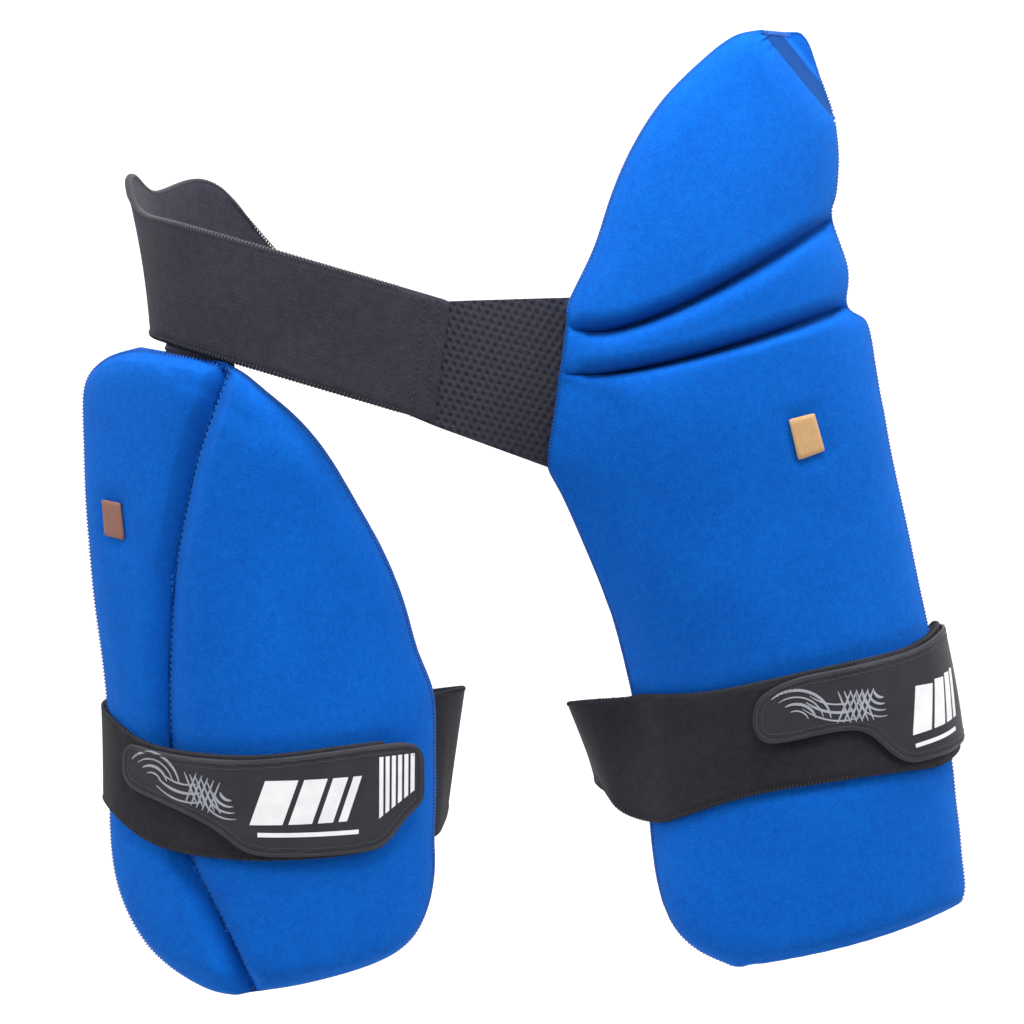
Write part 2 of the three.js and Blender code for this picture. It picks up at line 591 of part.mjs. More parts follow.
// The inner guard's columns run to its seam and on from it, so that its groove is crisp.
function innerGuard() {
  const sideColumns = closeAtEnds(8);
  const mainColumns = closeAtEnds(12).slice(1);
  const shares = (row) => {
    const [left, right] = [smooth(innerRows, "left", row), smooth(innerRows, "right", row)];
    const seam = (smooth(innerRows, "seam", row) - left) / (right - left);
    return [...sideColumns.map((c) => c * seam), ...mainColumns.map((c) => seam + c * (1 - seam))];
  };
  return padMesh("inner_guard", innerPad, rowNumbers(innerRows, []), shares);
}

// Leg straps and their tabs

// The surface that a strap lies on, round one thigh: a point at a real station number and a height.
function strapSurface(rows, thigh, pad) {
  const edge = (row, side) => thigh.level + row[side] * thigh.width;
  const stationPoint = (row, z) => {
    const share = (z - edge(row, "down")) / (edge(row, "up") - edge(row, "down"));
    if (row.beside !== undefined) {
      const out = lerp(row.outDown, row.outUp, share) * thigh.radius;
      const aft = lerp(row.aftDown, row.aftUp, share) * thigh.radius;
      const point = pad.onBack(row.beside, z);
      return new THREE.Vector3(point.x + (row.beside ? out : -out), point.y + aft, z);
    }
    if (row.behind !== undefined) return pad.onBack(row.behind, z);
    if (row.turn === undefined) return pad.onFront(row.across, z);
    const reach = lerp(row.reachDown, row.reachUp, share) * thigh.radius;
    const angle = THREE.MathUtils.degToRad(row.turn);
    return new THREE.Vector3(thigh.x + reach * Math.cos(angle), reach * Math.sin(angle), z);
  };
  const station = (k) => rows[(k + rows.length) % rows.length];
  const closed = rows[0].behind === undefined;
  const point = (at, z) => {
    const k = closed ? Math.floor(at) : Math.min(Math.max(Math.floor(at), 0), rows.length - 2);
    return stationPoint(station(k), z).lerp(stationPoint(station(k + 1), z), at - k);
  };
  // The unit normal away from the thigh.
  const normal = (at, z) => {
    const along = point(at + 0.5, z).sub(point(at - 0.5, z));
    const upward = point(at, z + 3).sub(point(at, z - 3));
    const n = along.cross(upward).normalize();
    return n.x * (point(at, z).x - thigh.x) + n.y * point(at, z).y < 0 ? n.negate() : n;
  };
  // The station number at a share across the guard's front.
  const stationAt = (across) => {
    let k = rows.findIndex((row) => row.across !== undefined);
    const between = (a, b) => (a - across) * (b - across) <= 0;
    while (k < rows.length - 2 && !between(rows[k].across, rows[k + 1].across)) k += 1;
    return k + (across - rows[k].across) / (rows[k + 1].across - rows[k].across);
  };
  return { edge, point, normal, stationAt, closed };
}

// A band on a strap's surface: at each stop a station number, its edges' heights and its lift.
function bandOn(surface, stops, heights, thickness, closed) {
  const inner = [];
  const outer = [];
  for (let k = 0; k <= heights; k += 1) {
    const rowInner = [];
    const rowOuter = [];
    for (const stop of stops) {
      const z = lerp(stop.down, stop.up, k / heights);
      const n = surface.normal(stop.at, z);
      const base = surface.point(stop.at, z).addScaledVector(n, stop.lift);
      rowInner.push(base);
      rowOuter.push(base.clone().addScaledVector(n, thickness));
    }
    inner.push(rowInner);
    outer.push(rowOuter);
  }
  return solidBetween(inner, outer, closed);
}

function legStrap(name, rows, surface) {
  const stops = rows.map((row, k) => ({
    at: k,
    up: surface.edge(row, "up"),
    down: surface.edge(row, "down"),
    lift: row.behind === undefined ? strapGap : -strapGap - elasticThickness,
  }));
  const geometry = bandOn(surface, stops, 3, elasticThickness, surface.closed);
  return piece(name, geometry, 0x2b2b30, 0.85);
}

function strapTab(name, rows, surface) {
  const stops = rows.map((row) => ({
    at: surface.stationAt(row.across),
    up: surface.edge(row, "up"),
    down: surface.edge(row, "down"),
    lift: strapGap + elasticThickness + tabGap,
  }));
  return piece(name, bandOn(surface, stops, 3, tabThickness, false), 0x3c3c41, 0.6);
}

// Labels: a small patch laid on a guard's front between four corners of the front plane.
function label(name, pad, corners, colour) {
  const [topLeft, topRight, bottomRight, bottomLeft] = corners.map(pad.place);
  const steps = [0, 0.5, 1];
  const base = steps.map((down) =>
    steps.map((across) => {
      const top = topLeft.clone().lerp(topRight, across);
      const place = top.lerp(bottomLeft.clone().lerp(bottomRight, across), down);
      return pad.onFront(pad.shareAt(place.x, place.y), place.y);
    }),
  );
  const normals = gridNormals(base, () => new THREE.Vector3(0, -1, 0));
  const inner = pushed(base, normals, seatGap);
  const outer = pushed(base, normals, seatGap + labelThickness);
  return piece(name, solidBetween(inner, outer, false), colour, 0.7);
}

// Waist loop

// A point of the waist loop seen from above, by its angle from the wearer's left.
function loopPoint(turn) {
  const angle = THREE.MathUtils.degToRad(turn);
  const [c, s] = [Math.cos(angle), Math.sin(angle)];
  const radius = (Math.abs(c) ** 3 + Math.abs(s) ** 3) ** (-1 / 3);
  return new THREE.Vector2(loopHalfWidth * radius * c, loopHalfDepth * radius * s);
}

function loopFrontDepth(x) {
  return -loopHalfDepth * (1 - Math.abs(x / loopHalfWidth) ** 3) ** (1 / 3);
}

function loopHeight(x, y) {
  return loopLevel - loopSlope * x - loopDip * y;
}

function awayFromWaist(point) {
  return new THREE.Vector3(point.x / loopHalfWidth, (point.y * loopHalfWidth) / loopHalfDepth ** 2, 0);
}

// The belt: its slanted front end, its turn round the waist and its end on the outer guard's back.
function waistBelt() {
  const heights = 3;
  const base = [];
  for (let k = 0; k <= heights; k += 1) {
    const share = k / heights;
    const rise = beltHeight * (share - 0.5);
    const frontX = beltEnd + beltEndSlant * (2 * share - 1);
    const frontY = loopFrontDepth(frontX);
    const row = [new THREE.Vector3(frontX, frontY, loopHeight(frontX, frontY) + rise)];
    for (const { turn, lift = 0, lean = 0 } of beltRows) {
      const p = loopPoint(turn);
      const out = awayFromWaist(p).normalize().multiplyScalar(lean * beltHeight * (share - 0.5));
      const z = loopHeight(p.x, p.y) + rise + lift * beltHeight * lerp(0.3, 1, share);
      row.push(new THREE.Vector3(p.x + out.x, p.y + out.y, z));
    }
    for (const place of beltSewnEnd) {
      const x = outerX + place * outerWidth;
      const z = loopHeight(x, -0.6 * loopHalfDepth) + rise;
      row.push(new THREE.Vector3(x, outerPad.back(new THREE.Vector2(x, z)), z));
    }
    base.push(row);
  }
  const normals = gridNormals(base, awayFromWaist);
  const sewn = -strapGap - elasticThickness;
  const liftAt = [0, ...beltRows.map(() => 0), ...beltSewnEnd.map(() => sewn)];
  const offset = (extra) =>
    base.map((row, i) => row.map((p, j) => p.clone().addScaledVector(normals[i][j], liftAt[j] + extra)));
  const geometry = solidBetween(offset(0), offset(elasticThickness), false);
  return piece("waist_belt", geometry, 0x3c3c4b, 0.85);
}

// The mesh panel: behind the belt's front end, across the gap, and behind the guard's left edge.
function beltMeshPanel() {
  const heights = 3;
  const beltShares = [1, 0.5, 0];
  const middleShares = [0.1, 0.25, 0.4, 0.55, 0.7, 0.85];
  const tuckShares = [0, 0.5, 1];
  const base = [];
  for (let k = 0; k <= heights; k += 1) {
    const share = k / heights;
    const height = (x) => {
      const across = x / loopHalfWidth;
      const f = (across - meshAtBelt.across) / (meshAtGuard.across - meshAtBelt.across);
      const down = lerp(meshAtBelt.down, meshAtGuard.down, f);
      return lerp(down, lerp(meshAtBelt.up, meshAtGuard.up, f), share) * beltHeight;
    };
    const endX = beltEnd + beltEndSlant * (2 * share - 1);
    const edgeX = outerPad.onBack(0, height(meshAtGuard.across * loopHalfWidth)).x;
    const onGuard = (x) => outerPad.back(new THREE.Vector2(x, height(x)));
    const row = beltShares.map((s) => endX - s * meshOverlap).map((x) => [x, loopFrontDepth(x)]);
    for (const f of middleShares)
      row.push([lerp(endX, edgeX, f), lerp(loopFrontDepth(endX), onGuard(edgeX), f)]);
    row.push(...tuckShares.map((s) => edgeX + s * meshTuck).map((x) => [x, onGuard(x)]));
    base.push(row.map(([x, y]) => new THREE.Vector3(x, y, height(x))));
  }
  const normals = gridNormals(base, () => new THREE.Vector3(0, -1, 0));
  const outer = pushed(base, normals, -panelGap);
  const inner = pushed(base, normals, -panelGap - meshThickness);
  return piece("belt_mesh_panel", solidBetween(inner, outer, false), 0x37343e, 0.95);
}

// The hanger strip: flat behind the belt above, flat behind the inner guard below.
function hangerTab() {
  const drops = [1, 0.6, 0.2, 0.06, -0.03, -0.08, -0.12, -0.3, -0.65, -1];
  const across = [0, 0.25, 0.5, 0.75, 1];
  const base = drops.map((drop) =>
    across.map((f) => {
      const x = lerp(hanger.from, hanger.to, f);
      const depth = loopFrontDepth(x) + 2 * strapGap;
      const beltFoot = loopHeight(x, depth) - beltHeight / 2;
      const z = beltFoot + drop * (drop > 0 ? hanger.underBelt : hanger.behindGuard);
      const onGuard = innerPad.back(new THREE.Vector2(x, z)) + strapGap;
      return new THREE.Vector3(x, lerp(onGuard, depth, easeInOut(1 + drop / 0.08)), z);
    }),
  );
  const normals = gridNormals(base, () => new THREE.Vector3(0, -1, 0));
  const outer = pushed(base, normals, -seatGap);
  const inner = pushed(base, normals, -seatGap - hangerThickness);
  return piece("hanger_tab", solidBetween(inner, outer, false), 0x2b2b35, 0.9);
}

const outerSurface = strapSurface(outerStrapRows, outerThigh, outerPad);
const innerSurface = strapSurface(innerStrapRows, innerThigh, innerPad);

const thighGuardSet = new THREE.Group();
thighGuardSet.add(
  outerGuard(),
  innerGuard(),
  waistBelt(),
  beltMeshPanel(),
  hangerTab(),
  legStrap("outer_leg_strap", outerStrapRows, outerSurface),
  strapTab("outer_strap_tab", outerTabRows, outerSurface),
  legStrap("inner_leg_strap", innerStrapRows, innerSurface),
  strapTab("inner_strap_tab", innerTabRows, innerSurface),
  label("outer_label", outerPad, outerLabelCorners, 0xdcaa78),
  label("inner_label", innerPad, innerLabelCorners, 0xaf6950),
);

export default thighGuardSet;
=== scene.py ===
import math

import bmesh
import bpy
import numpy as np
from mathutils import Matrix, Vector
from mathutils.bvhtree import BVHTree
from mathutils.kdtree import KDTree


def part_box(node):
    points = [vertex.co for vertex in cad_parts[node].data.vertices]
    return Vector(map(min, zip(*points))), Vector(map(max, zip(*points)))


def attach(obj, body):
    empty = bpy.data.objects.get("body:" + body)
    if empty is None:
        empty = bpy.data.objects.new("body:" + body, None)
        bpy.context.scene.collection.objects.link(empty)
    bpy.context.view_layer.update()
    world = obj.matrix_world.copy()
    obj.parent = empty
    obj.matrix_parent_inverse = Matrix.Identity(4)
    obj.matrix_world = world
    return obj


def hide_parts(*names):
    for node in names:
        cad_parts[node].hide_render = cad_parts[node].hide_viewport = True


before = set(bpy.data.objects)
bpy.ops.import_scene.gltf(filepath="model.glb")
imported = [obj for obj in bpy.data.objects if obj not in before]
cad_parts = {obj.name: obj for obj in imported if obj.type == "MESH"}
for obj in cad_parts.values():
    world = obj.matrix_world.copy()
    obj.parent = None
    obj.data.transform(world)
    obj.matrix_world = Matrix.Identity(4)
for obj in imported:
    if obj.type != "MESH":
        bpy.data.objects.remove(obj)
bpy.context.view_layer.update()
scene = bpy.context.scene


# Camera
# The set is seen level from the front, from a little above its middle and from near.
CAMERA_TARGET = Vector((0.006, -0.08, -0.06))
CAMERA_DISTANCE = 1.3
CAMERA_ELEVATION = math.radians(6)
CAMERA_LENS = 91.4
CAMERA_SENSOR = 36

camera = bpy.data.objects.new("camera", bpy.data.cameras.new("camera"))
camera.data.lens = CAMERA_LENS
camera.data.sensor_width = CAMERA_SENSOR
back_of_view = Vector((0, -math.cos(CAMERA_ELEVATION), math.sin(CAMERA_ELEVATION)))
camera.location = CAMERA_TARGET + CAMERA_DISTANCE * back_of_view
camera.rotation_euler = (-back_of_view).to_track_quat("-Z", "Y").to_euler()
scene.collection.objects.link(camera)
scene.camera = camera


# Outer guard
# A moulded foam panel in a brushed blue loop fabric, with the hip flap above two pressed creases.
# Its cover swells a little on the foam, and its edge is overlocked all round in the same blue.
GUARD_BLUE = (0.001, 0.129, 0.575)
GUARD_BLUE_DARK = (0.0005, 0.08, 0.43)
THREAD_BLUE = (0.001, 0.105, 0.5)
PILE_GRAIN = 0.0011
CLUMP_SCALE = 260.0
MOTTLE_SCALE = 30.0
MERGE_REACH = 2e-6
PAIR_BEND = math.radians(50)
PAIR_SKEW = math.radians(70)
SHARP_EDGE = math.radians(60)
EDGE_HOLD = 0.9
COVER_VOXEL = 0.004
COVER_SWELL = 0.0015
COVER_MASS = 0.3
COVER_PRESSURE = 4
SWELL_FRAMES = 20
SHELL_NEIGHBOURS = 6
ROOM_REACH = 0.008
ROOM_LEFT = 0.0005
OUTLINE_SCAN = 0.003
OUTLINE_ROWS = 220
ROUTE_STEP = 0.0015
FOLD_STEP = 0.003
OVERLOCK_SIZES = {"Pitch": 0.0019, "Half Width": 0.0021, "Reach": 0.0015}
OVERLOCK_SIZES |= {"Thread Radius": 0.00038, "Turn": 0.0}
OVERLOCK_INSET = 0.0022
OVERLOCK_FOOT = 0.005
OVER_OUTER_GUARD = ("waist_belt", "belt_mesh_panel", "outer_leg_strap", "outer_label")
HIP_FOLD = ((0.1255, 0.176), (0.134, 0.166), (0.1465, 0.152), (0.161, 0.137))
HIP_FOLD_BOTTOM = 0.13
FOLD_SLOPE = 1.5
FOLD_REACH = 0.012
WING_BEND = ((0.0665, 0.004), (0.0695, -0.02), (0.073, -0.05), (0.0745, -0.085))
WING_BEND += ((0.073, -0.12), (0.068, -0.15))
WING_SLOPE = 0.3
WING_TOP = 0.012
WING_FOOT = -0.17
WING_TOP_FADE = 0.02
WING_FOOT_FADE = 0.05
WING_RIGHT = 0.09
WING_LOWEST = -0.2
CREASES = {
    "upper": ((0.043, 0.032), (0.068, 0.035), (0.097, 0.046), (0.126, 0.059), (0.145, 0.071), (0.158, 0.081)),
    "lower": ((0.043, 0.011), (0.068, 0.014), (0.097, 0.021), (0.126, 0.028), (0.146, 0.034), (0.163, 0.040)),
}
CREASE_WINDOW = 0.006
CREASE_SCAN = 0.0005
CREASE_EVENING = 7
CREASE_DEPTH = 0.002
CREASE_ABOVE = 0.01
CREASE_BELOW = 0.004
STITCH_DIP = 0.0002
BRIGHTEST = 0.95
EDGE_SEAM = ("edge_way", 0.0, 0.001, 0.0012, 0.5, 0.4)
# Painted shade: a dark band just beyond the hip fold, where the flap turns away from the light.
PAINTED_FOLD_SHADE = ("fold_way", -0.0045, 0.004, 0.0015, 0.2, 0.85)
# Painted shade: a dark band just above each crease, under the overhanging foam.
PAINTED_CREASE_SHADE = (-0.002, 0.0015, 0.0035, 0.2, 0.4)


def solid_copy(node, name):
    """A new object with the solid's form, its loose triangles merged and paired into quads."""
    shape = bmesh.new()
    shape.from_mesh(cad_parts[node].data)
    bmesh.ops.remove_doubles(shape, verts=shape.verts, dist=MERGE_REACH)
    bmesh.ops.join_triangles(
        shape,
        faces=shape.faces,
        angle_face_threshold=PAIR_BEND,
        angle_shape_threshold=PAIR_SKEW,
    )
    mesh = bpy.data.meshes.new(name)
    shape.to_mesh(mesh)
    shape.free()
    for layer in list(mesh.uv_layers):
        mesh.uv_layers.remove(layer)
    mesh.materials.clear()
    return added(name, mesh)


def added(name, mesh):
    """A new object of the mesh, put in the scene."""
    piece = bpy.data.objects.new(name, mesh)
    scene.collection.objects.link(piece)
    return piece


def smoothed(piece, levels):
    """Subdivides the piece, with its sharp edges held, and applies it."""
    mesh = piece.data
    shape = bmesh.new()
    shape.from_mesh(mesh)
    crease = shape.edges.layers.float.new("crease_edge")
    for edge in shape.edges:
        if edge.calc_face_angle(0) > SHARP_EDGE:
            edge[crease] = EDGE_HOLD
    shape.to_mesh(mesh)
    shape.free()
    rounding = piece.modifiers.new("rounding", "SUBSURF")
    rounding.levels = levels
    rounding.render_levels = levels
    return applied(piece)


def applied(piece):
    """Puts what the piece's modifiers give into its mesh, and removes them."""
    depsgraph = bpy.context.evaluated_depsgraph_get()
    made = bpy.data.meshes.new_from_object(piece.evaluated_get(depsgraph))
    made.name = piece.name
    piece.modifiers.clear()
    old = piece.data
    piece.data = made
    bpy.data.meshes.remove(old)
    for polygon in made.polygons:
        polygon.use_smooth = True
    return piece


def places_of(mesh):
    """The mesh's points as rows of x, y and z."""
    places = np.empty(3 * len(mesh.vertices))
    mesh.vertices.foreach_get("co", places)
    return places.reshape(-1, 3)


def move_to(mesh, places):
    mesh.vertices.foreach_set("co", np.ravel(places))
    mesh.update()


def normals_of(mesh):
    """The outward ways at the mesh's points, as rows of x, y and z."""
    normals = np.empty(3 * len(mesh.vertices))
    mesh.vertices.foreach_get("normal", normals)
    return normals.reshape(-1, 3)


def surface_of(piece):
    """The piece's surface, ready for rays and for the nearest place on it."""
    mesh = piece.data
    points = [v.co.copy() for v in mesh.vertices]
    return BVHTree.FromPolygons(points, [tuple(p.vertices) for p in mesh.polygons])


def room_round(piece, nodes):
    """For each point, 0 where another solid nearly touches it, up to 1 where none is near."""
    room = np.ones(len(piece.data.vertices))
    for node in nodes:
        solid = surface_of(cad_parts[node])
        ways = [solid.find_nearest(vertex.co, ROOM_REACH)[3] for vertex in piece.data.vertices]
        ways = np.array([ROOM_REACH if way is None else way for way in ways])
        room = np.minimum(room, np.clip((ways - ROOM_LEFT) / (ROOM_REACH - ROOM_LEFT), 0, 1))
    return room


def swell(piece, nodes):
    """Lets the cover swell by cloth simulation, on an even shell that the fine mesh then follows.

    It only moves outwards, and only where none of the nodes lies on it.
    """
    shell = added(piece.name + "_shell", piece.data.copy())
    evener = shell.modifiers.new("evener", "REMESH")
    evener.mode = "VOXEL"
    evener.voxel_size = COVER_VOXEL
    applied(shell)
    start = places_of(shell.data)
    cloth = shell.modifiers.new("cloth", "CLOTH")
    cloth.settings.quality = 5
    cloth.settings.mass = COVER_MASS
    cloth.settings.use_pressure = True
    cloth.settings.uniform_pressure_force = COVER_PRESSURE
    cloth.settings.effector_weights.gravity = 0
    cloth.point_cache.frame_start = 1
    cloth.point_cache.frame_end = SWELL_FRAMES
    for step in range(1, SWELL_FRAMES + 1):
        scene.frame_set(step)
    depsgraph = bpy.context.evaluated_depsgraph_get()
    moves = places_of(shell.evaluated_get(depsgraph).to_mesh()) - start
    scene.frame_set(1)
    lengths = np.linalg.norm(moves, axis=1, keepdims=True)
    moves *= np.minimum(1, COVER_SWELL / np.maximum(lengths, 1e-9))
    tree = KDTree(len(start))
    for k, place in enumerate(start):
        tree.insert(place, k)
    tree.balance()
    places = places_of(piece.data)
    room = room_round(piece, nodes)
    for k, vertex in enumerate(piece.data.vertices):
        nearest = tree.find_n(vertex.co, SHELL_NEIGHBOURS)
        near = [(found, 1 / (way + COVER_VOXEL / 4)) for _, found, way in nearest]
        whole = sum(weight for _, weight in near)
        move = sum(moves[found] * weight for found, weight in near) / whole
        places[k] += room[k] * max(move @ np.array(vertex.normal), 0) * np.array(vertex.normal)
    move_to(piece.data, places)
    bpy.data.meshes.remove(shell.data)


def seen_from(surface, x, z, side):
    """The point and outward way at (x, z), seen from the front (side -1) or the back (side 1)."""
    point, normal, _, _ = surface.ray_cast(Vector((x, side, z)), Vector((0, -side, 0)))
    return point, normal


def front_outline(surface, box):
    """The piece's outline from the front, as rows of x and z, up its left and down its right."""
    low, high = box
    margin = OUTLINE_SCAN / 4

    def edge(inside, outside, z):
        for _ in range(9):
            middle = (inside + outside) / 2
            if seen_from(surface, middle, z, -1)[0] is None:
                outside = middle
            else:
                inside = middle
        return inside

    lefts = []
    rights = []
    for z in np.linspace(low.z + margin, high.z - margin, OUTLINE_ROWS):
        steps = np.arange(low.x - margin, high.x + margin, OUTLINE_SCAN)
        covered = [x for x in steps if seen_from(surface, x, z, -1)[0] is not None]
        if covered:
            lefts.append((edge(covered[0], covered[0] - OUTLINE_SCAN, z), z))
            rights.append((edge(covered[-1], covered[-1] + OUTLINE_SCAN, z), z))
    return evened(lefts + rights[::-1], ROUTE_STEP, True)


def evened(points, spacing, closed=False):
    """The same route with its points an even way apart."""
    points = np.asarray(points, dtype=float)
    if closed:
        points = np.vstack([points, points[:1]])
    ways = np.concatenate([[0], np.cumsum(np.linalg.norm(np.diff(points, axis=0), axis=1))])
    count = max(2, round(ways[-1] / spacing))
    at = np.linspace(0, ways[-1], count, endpoint=not closed)
    return np.stack([np.interp(at, ways, column) for column in points.T], axis=1)


def inset(outline, distance):
    """The closed outline moved in by the distance."""
    near = np.roll(outline, -3, axis=0) - np.roll(outline, 3, axis=0)
    near /= np.linalg.norm(near, axis=1, keepdims=True)
    return outline + distance * np.stack([near[:, 1], -near[:, 0]], axis=1)


def signed_distance(places, route):
    """How far each place lies to the right of the route, or to its left below zero."""
    best = np.full(len(places), 1.0)
    for start, end in zip(route[:-1], route[1:]):
        way = end - start
        off = places - start
        share = np.clip(off @ way / (way @ way), 0, 1)
        apart = np.linalg.norm(off - share[:, None] * way, axis=1)
        side = np.sign(off[:, 0] * way[1] - off[:, 1] * way[0])
        best = np.where(apart < np.abs(best), apart * side, best)
    return best


def with_attribute(piece, name, values):
    attribute = piece.data.attributes.new(name, "FLOAT", "POINT")
    attribute.data.foreach_set("value", values)


def faces_front(piece):
    """For each point, 1 where the piece faces the front, down to 0 where it faces sideways or back."""
    return np.clip(-normals_of(piece.data)[:, 1] * 2, 0, 1)


def with_front_line(piece, name, distance):
    """Stores how far each point is from a line on the front, and 1 for the points off the front."""
    with_attribute(piece, name, np.where(faces_front(piece) > 0, distance, 1.0))


def pressed(piece, distance, depth, reach, other_reach, flat=False):
    """Presses the front of the piece back along a seam, by how far each point is from it.

    The first reach is on the seam's right, where the distance is above 0, and the other on its
    left. Flat flanks meet in a sharp line, and others are rounded.
    """
    places = places_of(piece.data)
    front = faces_front(piece)
    reaches = np.where(distance > 0, reach, other_reach)
    share = np.clip(1 - np.abs(distance) / reaches, 0, 1)
    places[:, 1] += depth * front * (share if flat else share * share * (3 - 2 * share))
    move_to(piece.data, places)


def folded_back(piece, distance, bottom, slope):
    """Slopes the piece back beyond a fold, where the distance is below 0, above a height."""
    places = places_of(piece.data)
    past = np.where(places[:, 2] > bottom, np.clip(-distance, 0, FOLD_REACH), 0)
    places[:, 1] += slope * past
    move_to(piece.data, places)


def crease_line(surface, guide):
    """The bottom of a crease, as places (x, z), found close to a guide of such places."""
    line = []
    for x in np.linspace(guide[0][0], guide[-1][0], 40):
        middle = np.interp(x, *zip(*guide))
        heights = np.arange(middle - CREASE_WINDOW, middle + CREASE_WINDOW, CREASE_SCAN)
        found = [(seen_from(surface, x, z, -1)[0], z) for z in heights]
        line.append((x, max((point.y, z) for point, z in found if point is not None)[1]))
    line = np.array(line)
    padded = np.pad(line[:, 1], CREASE_EVENING // 2, mode="edge")
    line[:, 1] = np.convolve(padded, np.full(CREASE_EVENING, 1 / CREASE_EVENING), mode="valid")
    return evened(line, ROUTE_STEP)


class Value:
    """A node socket that Python's operators add Math nodes to."""

    def __init__(self, build, socket):
        self.build = build
        self.socket = socket

    def _math(self, operation, *others):
        return self.build.node("ShaderNodeMath", {"operation": operation}, [self, *others])

    def __add__(self, other):
        return self._math("ADD", other)

    __radd__ = __add__

    def __sub__(self, other):
        return self._math("SUBTRACT", other)

    def __rsub__(self, other):
        return self.build.node("ShaderNodeMath", {"operation": "SUBTRACT"}, [other, self])

    def __mul__(self, other):
        return self._math("MULTIPLY", other)

    __rmul__ = __mul__

    def __truediv__(self, other):
        return self._math("DIVIDE", other)

    def __mod__(self, other):
        return self._math("MODULO", other)

    def __abs__(self):
        return self._math("ABSOLUTE")

    def step(self, low, high):
        """0 below low, 1 above high, smooth between."""
        settings = {"interpolation_type": "SMOOTHSTEP"}
        inputs = {"Value": self, "From Min": low, "From Max": high}
        return self.build.node("ShaderNodeMapRange", settings, inputs)

    def near(self, centre, half, soft):
        """1 within half of the centre, falling to 0 over soft."""
        return 1 - abs(self - centre).step(half, half + soft)

    def wave(self, pitch):
        """Distance to the nearest multiple of the pitch, from 0 to half of it."""
        return (self / pitch)._math("PINGPONG", 0.5) * pitch


class Build:
    """A node tree in the making: each node is added by its type, settings and inputs."""

    def node(self, kind, settings, inputs, output=0):
        made = self.tree.nodes.new(kind)
        for name, value in settings.items():
            setattr(made, name, value)
        named = inputs.items() if isinstance(inputs, dict) else enumerate(inputs)
        for key, value in named:
            self.put(made.inputs[key], value)
        return Value(self, made.outputs[output])

    def put(self, socket, value):
        if isinstance(value, Value):
            self.tree.links.new(value.socket, socket)
        else:
            socket.default_value = value


class Finish(Build):
    """A material in the making."""

    def __init__(self, name, roughness, sheen=0.0, gloss=0.5):
        self.material = bpy.data.materials.new(name)
        self.material.use_nodes = True
        self.tree = self.material.node_tree
        self.shader = self.tree.nodes["Principled BSDF"]
        self.shader.inputs["Roughness"].default_value = roughness
        self.shader.inputs["Sheen Weight"].default_value = sheen
        self.shader.inputs["Specular IOR Level"].default_value = gloss

    def place(self, kind="Object"):
        return self.node("ShaderNodeTexCoord", {}, {}, kind)

    def attribute(self, name):
        return self.node("ShaderNodeAttribute", {"attribute_name": name}, {}, "Fac")

    def mix(self, factor, first, second):
        inputs = {0: factor, 6: (*first, 1) if isinstance(first, tuple) else first}
        inputs[7] = (*second, 1) if isinstance(second, tuple) else second
        return self.node("ShaderNodeMix", {"data_type": "RGBA"}, inputs, 2)

    def shades(self, shade, colour, low, high):
        """The colour from low times its strength, where the shade is 0, to high times it."""
        darker = tuple(low * c for c in colour)
        lighter = tuple(min(high * c, BRIGHTEST) for c in colour)
        return self.mix(shade, darker, lighter)

    def noise(self, place, scale, detail=2.0):
        return self.node("ShaderNodeTexNoise", {}, {"Vector": place, "Scale": scale, "Detail": detail})

    def finish(self, colour, height, distance, strength=1.0):
        self.put(self.shader.inputs["Base Color"], colour)
        bump = {"Height": height, "Distance": distance, "Strength": strength}
        self.put(self.shader.inputs["Normal"], self.node("ShaderNodeBump", {}, bump))
        return self.material


